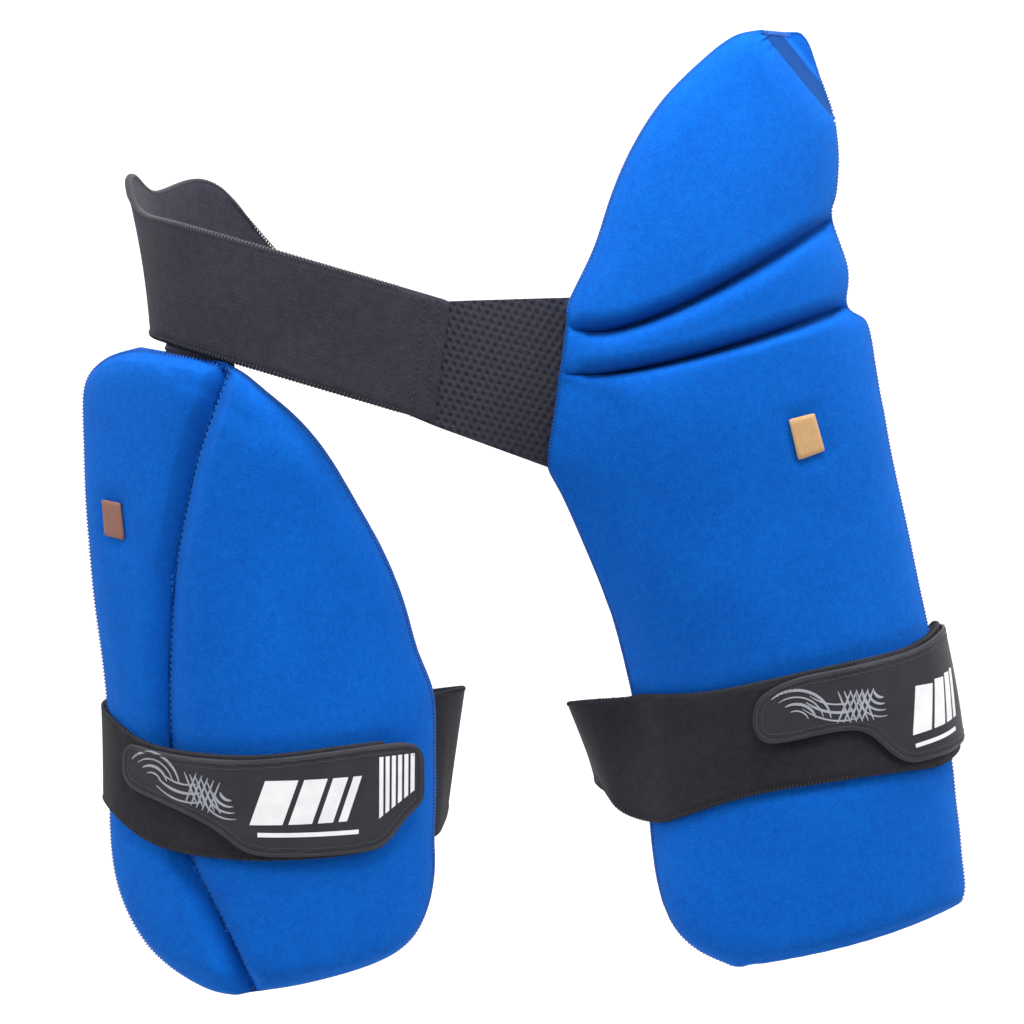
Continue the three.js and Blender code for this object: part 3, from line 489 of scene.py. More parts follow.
class Sewing(Build):
    """A Geometry Nodes tree in the making that puts one shape along a route, all in one thread.

    Each shape has its own z along the route's "out" and its own x along the route, and every
    second one is turned the other way about z.
    """

    def __init__(self, name, sizes):
        self.tree = bpy.data.node_groups.new(name, "GeometryNodeTree")
        face = self.tree.interface
        face.new_socket("Route", in_out="INPUT", socket_type="NodeSocketGeometry")
        for size in sizes:
            face.new_socket(size, in_out="INPUT", socket_type="NodeSocketFloat")
        face.new_socket("Thread", in_out="INPUT", socket_type="NodeSocketMaterial")
        face.new_socket("Stitches", in_out="OUTPUT", socket_type="NodeSocketGeometry")
        self.given = self.tree.nodes.new("NodeGroupInput")

    def size(self, name):
        return Value(self, self.given.outputs[name])

    def vector(self, x, y, z):
        return self.node("ShaderNodeCombineXYZ", {}, [x, y, z])

    def thread_along(self, curve, sides):
        """A tube round the curve, as thick as the tree's Thread Radius."""
        inputs = {"Resolution": sides, "Radius": self.size("Thread Radius")}
        profile = self.node("GeometryNodeCurvePrimitiveCircle", {}, inputs)
        inputs = {"Curve": curve, "Profile Curve": profile, "Fill Caps": True}
        return self.node("GeometryNodeCurveToMesh", {}, inputs)

    def repeat(self, shape):
        """Puts the shape along the route at the tree's Pitch and finishes the tree."""
        route = self.node("GeometryNodeMeshToCurve", {}, {"Mesh": self.size("Route")})
        inputs = {"Curve": route, "Length": self.size("Pitch")}
        points = self.node("GeometryNodeCurveToPoints", {"mode": "LENGTH"}, inputs)
        tangent = Value(self, points.socket.node.outputs["Tangent"])
        settings = {"data_type": "FLOAT_VECTOR"}
        out = self.node("GeometryNodeInputNamedAttribute", settings, {"Name": "out"}, "Attribute")
        align = "FunctionNodeAlignRotationToVector"
        upright = self.node(align, {"axis": "Z"}, {"Vector": out})
        settings = {"axis": "X", "pivot_axis": "Z"}
        ahead = self.node(align, settings, {"Rotation": upright, "Vector": tangent})
        other_way = self.node("GeometryNodeInputIndex", {}, {}) % 2
        turn = self.size("Turn") * (1 - 2 * other_way)
        euler = self.vector(0.0, 0.0, turn)
        turned = self.node("FunctionNodeEulerToRotation", {}, {"Euler": euler})
        inputs = {"Rotation": ahead, "Rotate By": turned}
        way = self.node("FunctionNodeRotateRotation", {"rotation_space": "LOCAL"}, inputs)
        inputs = {"Points": points, "Instance": shape, "Rotation": way}
        laid = self.node("GeometryNodeInstanceOnPoints", {}, inputs)
        real = self.node("GeometryNodeRealizeInstances", {}, {"Geometry": laid})
        inputs = {"Geometry": real, "Material": self.size("Thread")}
        finished = self.node("GeometryNodeSetMaterial", {}, inputs)
        end = self.tree.nodes.new("NodeGroupOutput")
        self.put(end.inputs[0], finished)
        return self.tree


def stitch_tree():
    """Straight stitches: each a short thread that rises from the cloth and dips into it again."""
    build = Sewing("stitches", ("Pitch", "Length", "Rise", "Thread Radius", "Turn"))
    half = build.size("Length") * 0.5
    start = build.vector(half * -1, 0.0, -STITCH_DIP)
    end = build.vector(half, 0.0, -STITCH_DIP)
    middle = build.vector(0.0, 0.0, build.size("Rise") * 2)
    inputs = {"Resolution": 5, "Start": start, "Middle": middle, "End": end}
    bow = build.node("GeometryNodeCurveQuadraticBezier", {}, inputs)
    return build.repeat(build.thread_along(bow, sides=5))


def overlock_tree():
    """Overlock loops: each an oval of thread round the edge of the cloth."""
    build = Sewing("overlock", ("Pitch", "Half Width", "Reach", "Thread Radius", "Turn"))
    circle = build.node("GeometryNodeCurvePrimitiveCircle", {}, {"Resolution": 12, "Radius": 1.0})
    upright = {"Geometry": circle, "Rotation": (0.0, math.pi / 2, 0.0)}
    stood = build.node("GeometryNodeTransform", {}, upright)
    scale = build.vector(1.0, build.size("Half Width"), build.size("Reach"))
    oval = build.node("GeometryNodeTransform", {}, {"Geometry": stood, "Scale": scale})
    return build.repeat(build.thread_along(oval, sides=4))


def sewn(name, tree, route, outs, sizes, thread, closed=False):
    """A row of stitches along the route, as one plain mesh."""
    mesh = bpy.data.meshes.new(name)
    edges = [(k, k + 1) for k in range(len(route) - 1)]
    if closed:
        edges.append((len(route) - 1, 0))
    mesh.from_pydata([tuple(p) for p in route], edges, [])
    out = mesh.attributes.new("out", "FLOAT_VECTOR", "POINT")
    out.data.foreach_set("vector", np.ravel([tuple(o) for o in outs]))
    piece = added(name, mesh)
    sewing = piece.modifiers.new("sewing", "NODES")
    sewing.node_group = tree
    for item in tree.interface.items_tree:
        if item.name in sizes:
            sewing[item.identifier] = sizes[item.name]
        if item.name == "Thread":
            sewing[item.identifier] = thread
    return applied(piece)


def overlocked(name, piece, outline, thread):
    """Overlock loops round the whole edge of a guard."""
    surface = surface_of(piece)
    outer_line = inset(outline, OVERLOCK_INSET)
    inner_line = inset(outline, OVERLOCK_FOOT)
    route = []
    outs = []
    for (x, z), (inner_x, inner_z) in zip(outer_line, inner_line):
        ends = [seen_from(surface, x, z, side)[0] for side in (-1, 1)]
        inner_ends = [seen_from(surface, inner_x, inner_z, side)[0] for side in (-1, 1)]
        if None in ends or None in inner_ends:
            continue
        middle = (ends[0] + ends[1]) / 2
        route.append(middle)
        outs.append((middle - (inner_ends[0] + inner_ends[1]) / 2).normalized())
    return sewn(name, OVERLOCK, route, outs, OVERLOCK_SIZES, thread, closed=True)


def guard_fabric(name, seams_and_painted_shade):
    """Brushed loop fabric: a fine pile, mottled a little, drawn in and darker along its seams and creases.

    Each band is an attribute: its middle, half width and soft edge, its depth and how dark it is. At the
    creases, the hip fold and the seam's flank the darkening is painted shade.
    """
    build = Finish(name, roughness=0.9, sheen=0.12, gloss=0.12)
    place = build.place()
    pile = build.noise(place, 1 / PILE_GRAIN, 4.0)
    clumps = build.noise(place, CLUMP_SCALE, 3.0)
    mottle = build.noise(place, MOTTLE_SCALE, 2.0)
    shade = pile.step(0.32, 0.7) * 0.5 + clumps.step(0.3, 0.7) * 0.3 + mottle.step(0.3, 0.7) * 0.2
    colour = build.mix(shade, GUARD_BLUE_DARK, GUARD_BLUE)
    height = pile * 0.35 + clumps * 0.3
    for attribute, centre, half, soft, depth, dark in seams_and_painted_shade:
        line = build.attribute(attribute).near(centre, half, soft)
        # Mixes towards a deep blue: a dark thread line at the edge and the zigzag seam, and painted shade at
        # the creases, the hip fold and the flank.
        colour = build.mix(line * dark, colour, tuple(0.35 * c for c in GUARD_BLUE_DARK))
        height = height - line * depth
    build.shader.inputs["Sheen Roughness"].default_value = 0.5
    build.shader.inputs["Sheen Tint"].default_value = (0.1, 0.45, 1.0, 1.0)
    return build.finish(colour, height, distance=0.0006, strength=0.7)


def thread_finish(name, colour):
    """Spun polyester thread, with a fine twist and a slight shine."""
    build = Finish(name, roughness=0.6)
    twist = build.noise(build.place(), 2500.0, 1.0)
    return build.finish(build.shades(twist, colour, 0.7, 1.15), twist, distance=0.0001)


STITCHES = stitch_tree()
OVERLOCK = overlock_tree()
guard_thread = thread_finish("guard_thread", THREAD_BLUE)

outer_guard = smoothed(solid_copy("outer_guard", "outer_guard_cover"), 2)
swell(outer_guard, OVER_OUTER_GUARD)
outer_outline = front_outline(surface_of(outer_guard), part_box("outer_guard"))
outer_places = places_of(outer_guard.data)[:, [0, 2]]
fold_way = signed_distance(outer_places, evened(HIP_FOLD, FOLD_STEP))
folded_back(outer_guard, fold_way, HIP_FOLD_BOTTOM, FOLD_SLOPE)
wing_way = signed_distance(outer_places, evened(WING_BEND, FOLD_STEP))
wing_share = np.clip((WING_TOP - outer_places[:, 1]) / WING_TOP_FADE, 0, 1)
wing_share *= np.clip((outer_places[:, 1] - WING_FOOT) / WING_FOOT_FADE, 0, 1)
wing_way = np.where(outer_places[:, 0] < WING_RIGHT, -wing_way * wing_share, 0)
folded_back(outer_guard, wing_way, WING_LOWEST, WING_SLOPE)
outer_surface = surface_of(outer_guard)
for crease_name, guide in CREASES.items():
    crease_way = signed_distance(outer_places, crease_line(outer_surface, guide))
    pressed(outer_guard, crease_way, CREASE_DEPTH, CREASE_BELOW, CREASE_ABOVE)
    with_front_line(outer_guard, f"{crease_name}_way", crease_way)
with_attribute(outer_guard, "edge_way", signed_distance(outer_places, outer_outline))
with_front_line(outer_guard, "fold_way", fold_way)
# The edge band is a dark thread line. The fold and crease bands are painted shade.
outer_seams_and_painted_shade = (EDGE_SEAM, PAINTED_FOLD_SHADE, *((f"{crease_name}_way", *PAINTED_CREASE_SHADE) for crease_name in CREASES))
outer_guard.data.materials.append(guard_fabric("outer_guard_fabric", outer_seams_and_painted_shade))
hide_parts("outer_guard")
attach(outer_guard, "root")

outer_overlock = overlocked("outer_guard_overlock", outer_guard, outer_outline, guard_thread)
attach(outer_overlock, "root")


# Inner guard
# The smaller moulded panel in the same fabric, in two panels that meet in one zigzag seam, which
# lies in a groove from the top edge to the foot.
OVER_INNER_GUARD = ("waist_belt", "hanger_tab", "inner_leg_strap", "inner_label")
TOP_FOLD = ((-0.212, 0.003), (-0.2058, 0.0096), (-0.198, 0.0140), (-0.1905, 0.0155), (-0.1789, 0.0155))
TOP_FOLD += ((-0.1667, 0.0145), (-0.1533, 0.0125), (-0.1415, 0.0105), (-0.136, 0.018))
TOP_FOLD_BOTTOM = -0.02
TOP_SLOPE = 1.3
SEAM_DEPTH = 0.003
SEAM_RIGHT = 0.012
SEAM_LEFT = 0.006
FLANK_WIDTH = 0.0115
FLANK_SOFT = 0.0015
FLANK_FOOT = -0.14
FLANK_FADE = 0.08
ZIGZAG_SEAM = ("seam_way", 0.0, 0.0005, 0.001, 1.0, 0.25)
# Painted shade: a darker band on the seam's left flank.
PAINTED_FLANK_SHADE = ("flank", 0.0, 0.0, 1.0, 0.0, 0.2)
ZIGZAG_BLUE = (0.002, 0.17, 0.62)
ZIGZAG_SIZES = {"Pitch": 0.0017, "Length": 0.0034, "Rise": 0.0006, "Thread Radius": 0.00026, "Turn": 1.1}
SEAM_PLACES = (
    (-0.1322, 0.0125), (-0.1355, 0.0035), (-0.1391, -0.0052), (-0.1452, -0.0212),
    (-0.1524, -0.0431), (-0.1559, -0.0581), (-0.1598, -0.0758), (-0.1634, -0.0938),
    (-0.1653, -0.1191), (-0.167, -0.1451), (-0.1673, -0.1763), (-0.1655, -0.2),
    (-0.162, -0.221), (-0.1569, -0.2387), (-0.1473, -0.2555), (-0.1395, -0.27),
    (-0.1317, -0.2857), (-0.1265, -0.2975),
)


def laid_on(surface, route):
    """The route's places (x, z) on the front of a surface, and its outward ways there."""
    found = [seen_from(surface, x, z, -1) for x, z in route]
    found = [(point, normal) for point, normal in found if point is not None]
    return [point for point, _ in found], [normal for _, normal in found]


inner_guard = smoothed(solid_copy("inner_guard", "inner_guard_cover"), 2)
swell(inner_guard, OVER_INNER_GUARD)
inner_outline = front_outline(surface_of(inner_guard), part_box("inner_guard"))
inner_places = places_of(inner_guard.data)[:, [0, 2]]
top_way = signed_distance(inner_places, evened(TOP_FOLD, FOLD_STEP))
top_way = np.where(inner_places[:, 0] < TOP_FOLD[-1][0], top_way, 0)
folded_back(inner_guard, top_way, TOP_FOLD_BOTTOM, TOP_SLOPE)
seam_route = evened(SEAM_PLACES, ROUTE_STEP)
seam_way = signed_distance(inner_places, seam_route)
pressed(inner_guard, seam_way, SEAM_DEPTH, SEAM_RIGHT, SEAM_LEFT, flat=True)
with_attribute(inner_guard, "edge_way", signed_distance(inner_places, inner_outline))
with_front_line(inner_guard, "seam_way", seam_way)
# Painted shade on the seam's left flank, full near the top and fading out towards the foot.
in_flank = np.clip(seam_way / FLANK_SOFT, 0, 1) * np.clip((FLANK_WIDTH - seam_way) / FLANK_SOFT, 0, 1)
in_flank *= np.clip((inner_places[:, 1] - FLANK_FOOT) / FLANK_FADE, 0, 1)
with_front_line(inner_guard, "flank", 1 - in_flank)
inner_seams_and_painted_shade = (EDGE_SEAM, ZIGZAG_SEAM, PAINTED_FLANK_SHADE)
inner_guard.data.materials.append(guard_fabric("inner_guard_fabric", inner_seams_and_painted_shade))
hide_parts("inner_guard")
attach(inner_guard, "root")

inner_overlock = overlocked("inner_guard_overlock", inner_guard, inner_outline, guard_thread)
zigzag_route = laid_on(surface_of(inner_guard), seam_route)
zigzag_thread = thread_finish("zigzag_thread", ZIGZAG_BLUE)
inner_zigzag = sewn("inner_guard_zigzag", STITCHES, *zigzag_route, ZIGZAG_SIZES, zigzag_thread)
for thread_piece in (inner_overlock, inner_zigzag):
    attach(thread_piece, "root")


# Waist belt
# Wide elastic with a brushed loop face, its fine ribs running round the waist. Both long edges are
# overlocked, and two rows of stitches hold its front end to the mesh panel.
BELT_COLOUR = (0.031, 0.03, 0.042)
BELT_WIDTH = 0.06
BELT_RIB = 0.0021
THREAD_BLACK = (0.02, 0.02, 0.026)
THREAD_GREY = (0.07, 0.07, 0.08)
WAIST = Vector((0, 0, 0))
WAIST_RADIUS = 0.15
LEVEL_FACE = 0.8
EDGING_STEP = 0.002
EDGING_TRIM = 3
EDGING_SINK = 0.0009
EDGING_REACH = 0.0011
BELT_EDGING_TURNS = (2, 300, 40)
BELT_EDGING_HALF = 0.0016
BELT_END_ROWS = (0.004, 0.011)
BELT_END_HEIGHTS = (-0.022, 0.05)
BELT_END_LEFT = -0.08
BELT_END_SCAN = 0.0008
BELT_FRONT = -0.05
BELT_END_SIZES = {"Pitch": 0.0032, "Length": 0.0026, "Rise": 0.0004, "Thread Radius": 0.00028, "Turn": 0.0}


def band_map(piece, centre, radius):
    """A UV map: u round the band about an upright line, in metres, v from its lower edge to 1."""
    mesh = piece.data
    polygons = [list(p.vertices) for p in mesh.polygons]
    points = [v.co.copy() for v in mesh.vertices]
    lower = [p for p, q in zip(polygons, mesh.polygons) if q.normal.z < -LEVEL_FACE]
    upper = [p for p, q in zip(polygons, mesh.polygons) if q.normal.z > LEVEL_FACE]
    lower_tree = BVHTree.FromPolygons(points, lower)
    upper_tree = BVHTree.FromPolygons(points, upper)
    across = [(lower_tree.find_nearest(p)[3], upper_tree.find_nearest(p)[3]) for p in points]
    turn = [math.atan2(p.x - centre.x, centre.y - p.y) for p in points]
    layer = mesh.uv_layers.new(name="band")
    for polygon in mesh.polygons:
        first = turn[polygon.vertices[0]]
        for loop in polygon.loop_indices:
            k = mesh.loops[loop].vertex_index
            angle = turn[k] + math.tau * round((first - turn[k]) / math.tau)
            below, above = across[k]
            layer.data[loop].uv = (angle * radius, below / (below + above + 1e-9))


def brushed_elastic(name, colour, width, rib):
    """Elastic with a brushed face: soft fluff over faint ribs, paler along both long edges."""
    build = Finish(name, roughness=0.92, sheen=0.06, gloss=0.15)
    split = build.node("ShaderNodeSeparateXYZ", {}, [build.place("UV")])
    along = split
    across = Value(build, split.socket.node.outputs[1])
    ribs = (across * width).wave(rib).step(0.0, rib * 0.5)
    picks = along.wave(rib * 0.6).step(0.0, rib * 0.3)
    fluff = build.noise(build.place(), 900.0, 4.0)
    clumps = build.noise(build.place(), 220.0, 3.0)
    worn = build.noise(build.place(), 24.0, 2.0)
    height = ribs * 0.12 + picks * 0.06 + fluff * 0.5 + clumps * 0.25
    edge = 1 - across.near(0.5, 0.455, 0.02)
    shade = fluff.step(0.3, 0.7) * 0.35 + clumps.step(0.3, 0.7) * 0.25 + worn.step(0.3, 0.7) * 0.25
    shade = shade + ribs * 0.05 + edge * 0.25
    return build.finish(build.shades(shade, colour, 0.6, 1.4), height, distance=0.0005, strength=0.6)


def band_edge(piece, centre, side, turns):
    """The middle of a band's upper (side 1) or lower (side -1) long edge.

    The turns are its first and last degree round the centre, and the degree they count from.
    """
    mesh = piece.data
    found = []
    for polygon in mesh.polygons:
        if polygon.normal.z * side > LEVEL_FACE:
            point = polygon.center
            turn = math.degrees(math.atan2(point.x - centre.x, centre.y - point.y)) % 360
            if turns[0] < (turn - turns[2]) % 360 < turns[1]:
                found.append(((turn - turns[2]) % 360, *point))
    found.sort()
    found = np.array(found)
    bins = np.arange(turns[0], turns[1], 1.0)
    places = np.digitize(found[:, 0], bins)
    middles = [found[places == k, 1:].mean(axis=0) for k in np.unique(places)]
    return evened(middles, EDGING_STEP)[EDGING_TRIM:-EDGING_TRIM]


def overlocked_band(name, piece, centre, side, turns, half_width, thread):
    """Overlock loops over a band's upper (side 1) or lower (side -1) edge."""
    route = band_edge(piece, centre, side, turns)
    route[:, 2] -= side * EDGING_SINK
    outs = [Vector((0, 0, side))] * len(route)
    sizes = OVERLOCK_SIZES | {"Half Width": half_width, "Reach": EDGING_REACH}
    return sewn(name, OVERLOCK, route, outs, sizes, thread)


black_thread = thread_finish("black_thread", THREAD_BLACK)
grey_thread = thread_finish("grey_thread", THREAD_GREY)

waist_belt = smoothed(solid_copy("waist_belt", "waist_belt_elastic"), 2)
band_map(waist_belt, WAIST, WAIST_RADIUS)
waist_belt.data.materials.append(brushed_elastic("belt_elastic", BELT_COLOUR, BELT_WIDTH, BELT_RIB))
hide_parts("waist_belt")
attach(waist_belt, "root")

belt_surface = surface_of(waist_belt)
for edge_name, side, thread in (("upper", 1, grey_thread), ("lower", -1, black_thread)):
    edging_facts = (WAIST, side, BELT_EDGING_TURNS, BELT_EDGING_HALF, thread)
    edging = overlocked_band(f"belt_{edge_name}_edging", waist_belt, *edging_facts)
    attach(edging, "root")


def belt_end_route(distance):
    """A line up the belt's front end, the distance in from its end."""
    route = []
    for z in np.linspace(*BELT_END_HEIGHTS, 60):
        for x in np.arange(0.0, BELT_END_LEFT, -BELT_END_SCAN):
            point, _ = seen_from(belt_surface, x, z, -1)
            if point is not None and point.y < BELT_FRONT:
                route.append((x - distance, z))
                break
    return route[EDGING_TRIM:-EDGING_TRIM]


for row, distance in enumerate(BELT_END_ROWS):
    end_row = laid_on(belt_surface, belt_end_route(distance))
    end_stitches = sewn(f"belt_end_stitches_{row}", STITCHES, *end_row, BELT_END_SIZES, black_thread)
    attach(end_stitches, "root")


# Mesh panel
# Black knitted spacer mesh between the belt and the outer guard. Its face is pitted with staggered
# round cells, and it is sewn under the belt's end and behind the guard's edge.
MESH_COLOUR = (0.024, 0.024, 0.037)
CELL_PITCH = 0.0042
CELL_RADIUS = 0.0012
CELL_DEPTH = 0.0006
CELL_ROW = 0.86 * CELL_PITCH
MESH_SLOPE = -0.28
MESH_LEVELS = 5
MESH_FACE = 0.7


def cell_hollow(places):
    """How deep in a knitted cell each place on the mesh lies, from 0 to 1."""
    along = places[:, 0] * math.sqrt(1 + MESH_SLOPE**2)
    up = places[:, 2] - MESH_SLOPE * places[:, 0]
    row = np.floor(up / CELL_ROW)
    across = along / CELL_PITCH + 0.5 * (row % 2)
    off_along = (across - np.floor(across) - 0.5) * CELL_PITCH
    off_up = up - (row + 0.5) * CELL_ROW
    apart = np.hypot(off_along, off_up)
    return np.clip((CELL_RADIUS * 1.2 - apart) / (CELL_RADIUS * 0.5), 0, 1)


mesh_panel = smoothed(solid_copy("belt_mesh_panel", "belt_mesh_knit"), MESH_LEVELS)
mesh_places = places_of(mesh_panel.data)
mesh_normals = normals_of(mesh_panel.data)
hollow = cell_hollow(mesh_places) * (np.abs(mesh_normals[:, 1]) > MESH_FACE)
move_to(mesh_panel.data, mesh_places - CELL_DEPTH * hollow[:, None] * mesh_normals)
with_attribute(mesh_panel, "hollow", hollow)


def spacer_knit():
    """Dull black yarn, with painted shade inside the cells."""
    build = Finish("spacer_mesh", roughness=0.8, sheen=0.1, gloss=0.3)
    hollow = build.attribute("hollow")
    yarn = build.noise(build.place(), 1500.0, 3.0)
    # Painted shade: the yarn is darker where the cells are hollow.
    shade = yarn.step(0.3, 0.7) * 0.6 + (1 - hollow) * 0.3
    colour = build.shades(shade, MESH_COLOUR, 0.35, 1.5)
    return build.finish(colour, yarn, distance=0.0003, strength=0.6)


mesh_panel.data.materials.append(spacer_knit())
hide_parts("belt_mesh_panel")
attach(mesh_panel, "root")


# Hanger strip
# Plain black tape with a brushed face, sewn behind the belt. The inner guard's top edge is sewn to
# its lower end, so that the guard hangs from the belt.
TAPE_COLOUR = (0.03, 0.03, 0.042)
TAPE_WIDTH = 0.05
TAPE_RIB = 0.0016
TAPE_MIDDLE = Vector((-0.1, 0, 0))
TAPE_RADIUS = 0.1

hanger = smoothed(solid_copy("hanger_tab", "hanger_tape"), 2)
band_map(hanger, TAPE_MIDDLE, TAPE_RADIUS)
hanger.data.materials.append(brushed_elastic("hanger_tape", TAPE_COLOUR, TAPE_WIDTH, TAPE_RIB))
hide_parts("hanger_tab")
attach(hanger, "root")


# Leg straps
# Softer brushed elastic, each in a loop round its thigh and across the front of its guard. Both long
# edges are overlocked in black thread, and the hook tab holds the loop closed.
STRAP_COLOUR = (0.02, 0.02, 0.026)
STRAP_WIDTH = 0.06
STRAP_RIB = 0.0018
STRAP_EDGING_TURNS = (6, 353, 30)
STRAP_EDGING_HALF = 0.0012
OUTER_THIGH = Vector((0.1434, 0, 0))
INNER_THIGH = Vector((-0.114, 0, 0))
OUTER_RADIUS = 0.1
INNER_RADIUS = 0.09

strap_cloth = brushed_elastic("strap_elastic", STRAP_COLOUR, STRAP_WIDTH, STRAP_RIB)
for side, thigh, radius in (("outer", OUTER_THIGH, OUTER_RADIUS), ("inner", INNER_THIGH, INNER_RADIUS)):
    strap = smoothed(solid_copy(f"{side}_leg_strap", f"{side}_leg_elastic"), 2)
    band_map(strap, thigh, radius)
    strap.data.materials.append(strap_cloth)
    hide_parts(f"{side}_leg_strap")
    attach(strap, "root")
    for edge_name, edge_side in (("upper", 1), ("lower", -1)):
        name = f"{side}_strap_{edge_name}_edging"
        edging_facts = (thigh, edge_side, STRAP_EDGING_TURNS, STRAP_EDGING_HALF, black_thread)
        edging = overlocked_band(name, strap, *edging_facts)
        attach(edging, "root")


# Hook tabs
# Moulded rubber faces on the straps' ends, each a tongue that widens to a panel. A bead runs round
# the edge with a light stitch row inside it, and a plain print of bars, stripes, ripples and a
# lozenge net lies a little proud of the face.
TAB_RUBBER = (0.024, 0.024, 0.031)
BEAD_RUBBER = tuple(1.6 * c for c in TAB_RUBBER)
PRINT_WHITE = (0.83, 0.83, 0.86)
PRINT_GREY = (0.36, 0.37, 0.42)
THIN_END = 0.3
FACE_SCAN = 0.0007
PATCH_STEP = 0.002
LINE_STEP = 0.0012
PRINT_LIFT = 0.00022
BEAD_LIFT = 0.0003
BEAD_WIDTH = 0.0009
BEAD_INSET = 0.0016
STITCH_INSET = 0.0042
STITCH_LIFT = 0.0001
TAB_STITCH_SIZES = {"Pitch": 0.0024, "Length": 0.0017, "Rise": 0.00025, "Thread Radius": 0.00016, "Turn": 0.0}


def rubber_finish(name, colour, roughness, grain_scale, wear):
    """Moulded rubber or its print: a fine even grain with faint scuffs, darker by the wear."""
    build = Finish(name, roughness, gloss=0.4)
    grain = build.noise(build.place(), grain_scale, 3.0)
    scuffs = build.noise(build.place(), 90.0, 4.0)
    shade = grain * 0.5 + scuffs.step(0.35, 0.7) * 0.5
    return build.finish(build.shades(shade, colour, 1 - wear, 1.2), grain, distance=0.0002, strength=0.5)


class Wrap:
    """A band's face unrolled: u goes round an upright axis at a radius, w is the height."""

    def __init__(self, piece, axis, radius):
        self.surface = surface_of(piece)
        self.axis = axis
        self.radius = radius

    def at(self, u, w):
        """The point of the face at (u, w), and its outward way there."""
        way = Vector((math.sin(u / self.radius), -math.cos(u / self.radius), 0))
        start = self.axis + 0.5 * way + Vector((0, 0, w))
        point, normal, _, _ = self.surface.ray_cast(start, -way, 0.47)
        return point, normal

    def span(self, u, low, high):
        """The lowest and highest heights that the face covers at u."""
        covered = [w for w in np.arange(low, high, FACE_SCAN) if self.at(u, w)[0] is not None]
        return (covered[0], covered[-1]) if covered else None


class Relief:
    """Low raised shapes on a band's face, gathered in one mesh."""

    def __init__(self, wrap, lift):
        self.wrap = wrap
        self.lift = lift
        self.points = []
        self.faces = []

    def sheet(self, grid):
        """A raised patch over rows of places (u, w)."""
        laid = [[self.wrap.at(u, w) for u, w in row] for row in grid]
        if any(point is None for row in laid for point, _ in row):
            return
        rows, columns = len(laid), len(laid[0])
        start = len(self.points)
        for lift in (self.lift, -self.lift):
            self.points += [point + lift * normal for row in laid for point, normal in row]
        under = rows * columns

        def quad(a, b, c, d):
            self.faces.append(tuple(start + k for k in (a, b, c, d)))

        for i in range(rows - 1):
            for j in range(columns - 1):
                k = i * columns + j
                quad(k, k + 1, k + columns + 1, k + columns)
                quad(under + k, under + k + columns, under + k + columns + 1, under + k + 1)
        rim = list(range(columns))
        rim += [i * columns + columns - 1 for i in range(1, rows)]
        rim += [(rows - 1) * columns + j for j in range(columns - 2, -1, -1)]
        rim += [i * columns for i in range(rows - 2, 0, -1)]
        for a, b in zip(rim, rim[1:] + rim[:1]):
            quad(a, under + a, under + b, b)

    def bar(self, corners):
        """A flat four-sided bar between its corners, in order round it."""
        a, b, c, d = (np.array(corner) for corner in corners)
        along = max(2, round(np.linalg.norm(b - a) / PATCH_STEP) + 1)
        up = max(2, round(np.linalg.norm(d - a) / PATCH_STEP) + 1)
        grid = []
        for t in np.linspace(0, 1, up):
            left, right = a + t * (d - a), b + t * (c - b)
            grid.append([left + s * (right - left) for s in np.linspace(0, 1, along)])
        self.sheet(grid)

    def line(self, places, width, taper=1.0):
        """A line along the places, thinned at its ends by the taper."""
        route = evened(places, LINE_STEP)
        ways = np.gradient(route, axis=0)
        ways /= np.linalg.norm(ways, axis=1, keepdims=True)
        sides = np.stack([ways[:, 1], -ways[:, 0]], axis=1)
        shares = np.linspace(-1, 1, len(route))
        halves = width / 2 * (1 - (1 - taper) * np.abs(shares) ** 3)
        self.sheet([[p - h * s, p + h * s] for p, s, h in zip(route, sides, halves)])

    def arc(self, centre, radius, turns, width):
        """A thin bow round the centre, between two turns in degrees."""
        angles = np.radians(np.linspace(*turns, 24))
        u, w = centre
        places = [(u + radius * math.cos(a), w + radius * math.sin(a)) for a in angles]
        self.line(places, width, THIN_END)

    def make(self, name, material):
        """Makes one piece of the shapes, fixed to the tab."""
        mesh = bpy.data.meshes.new(name)
        mesh.from_pydata(self.points, [], self.faces)
        shape = bmesh.new()
        shape.from_mesh(mesh)
        bmesh.ops.recalc_face_normals(shape, faces=shape.faces)
        shape.to_mesh(mesh)
        shape.free()
        mesh.materials.append(material)
        piece = added(name, mesh)
        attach(piece, "root")


def tab_outline(wrap, ends, low, high):
    """The tab's outline in (u, w), along its lower edge and back along its upper one."""
    spans = [(u, wrap.span(u, low, high)) for u in np.arange(ends[0], ends[1], 0.001)]
    spans = [(u, span) for u, span in spans if span]
    lower = [(u, span[0]) for u, span in spans]
    upper = [(u, span[1]) for u, span in spans]
    return evened(lower + upper[::-1], LINE_STEP, True)


TABS = {
    "outer": {"wrap": (OUTER_THIGH, OUTER_RADIUS), "ends": (-0.03, 0.13), "heights": (-0.19, -0.12)},
    "inner": {"wrap": (INNER_THIGH, INNER_RADIUS), "ends": (-0.09, 0.09), "heights": (-0.235, -0.174)},
}
tab_face = rubber_finish("tab_rubber", TAB_RUBBER, roughness=0.5, grain_scale=1600.0, wear=0.22)
bead_face = rubber_finish("tab_bead", BEAD_RUBBER, roughness=0.45, grain_scale=1600.0, wear=0.22)
white_print = rubber_finish("white_print", PRINT_WHITE, roughness=0.45, grain_scale=2200.0, wear=0.06)
grey_print = rubber_finish("grey_print", PRINT_GREY, roughness=0.45, grain_scale=2200.0, wear=0.12)


def slanted_bars(relief, start, heights, widths, gap, slant, slope):
    """Bold bars side by side, each leaning by the slant, on a sloping base line."""
    u = start[0]
    for width in widths:
        base = start[1] + slope * (u - start[0])
        top = base + heights
        lean = slant * heights
        relief.bar(((u, base), (u + width, base + slope * width), (u + width + lean, top), (u + lean, top)))
        u += width + gap


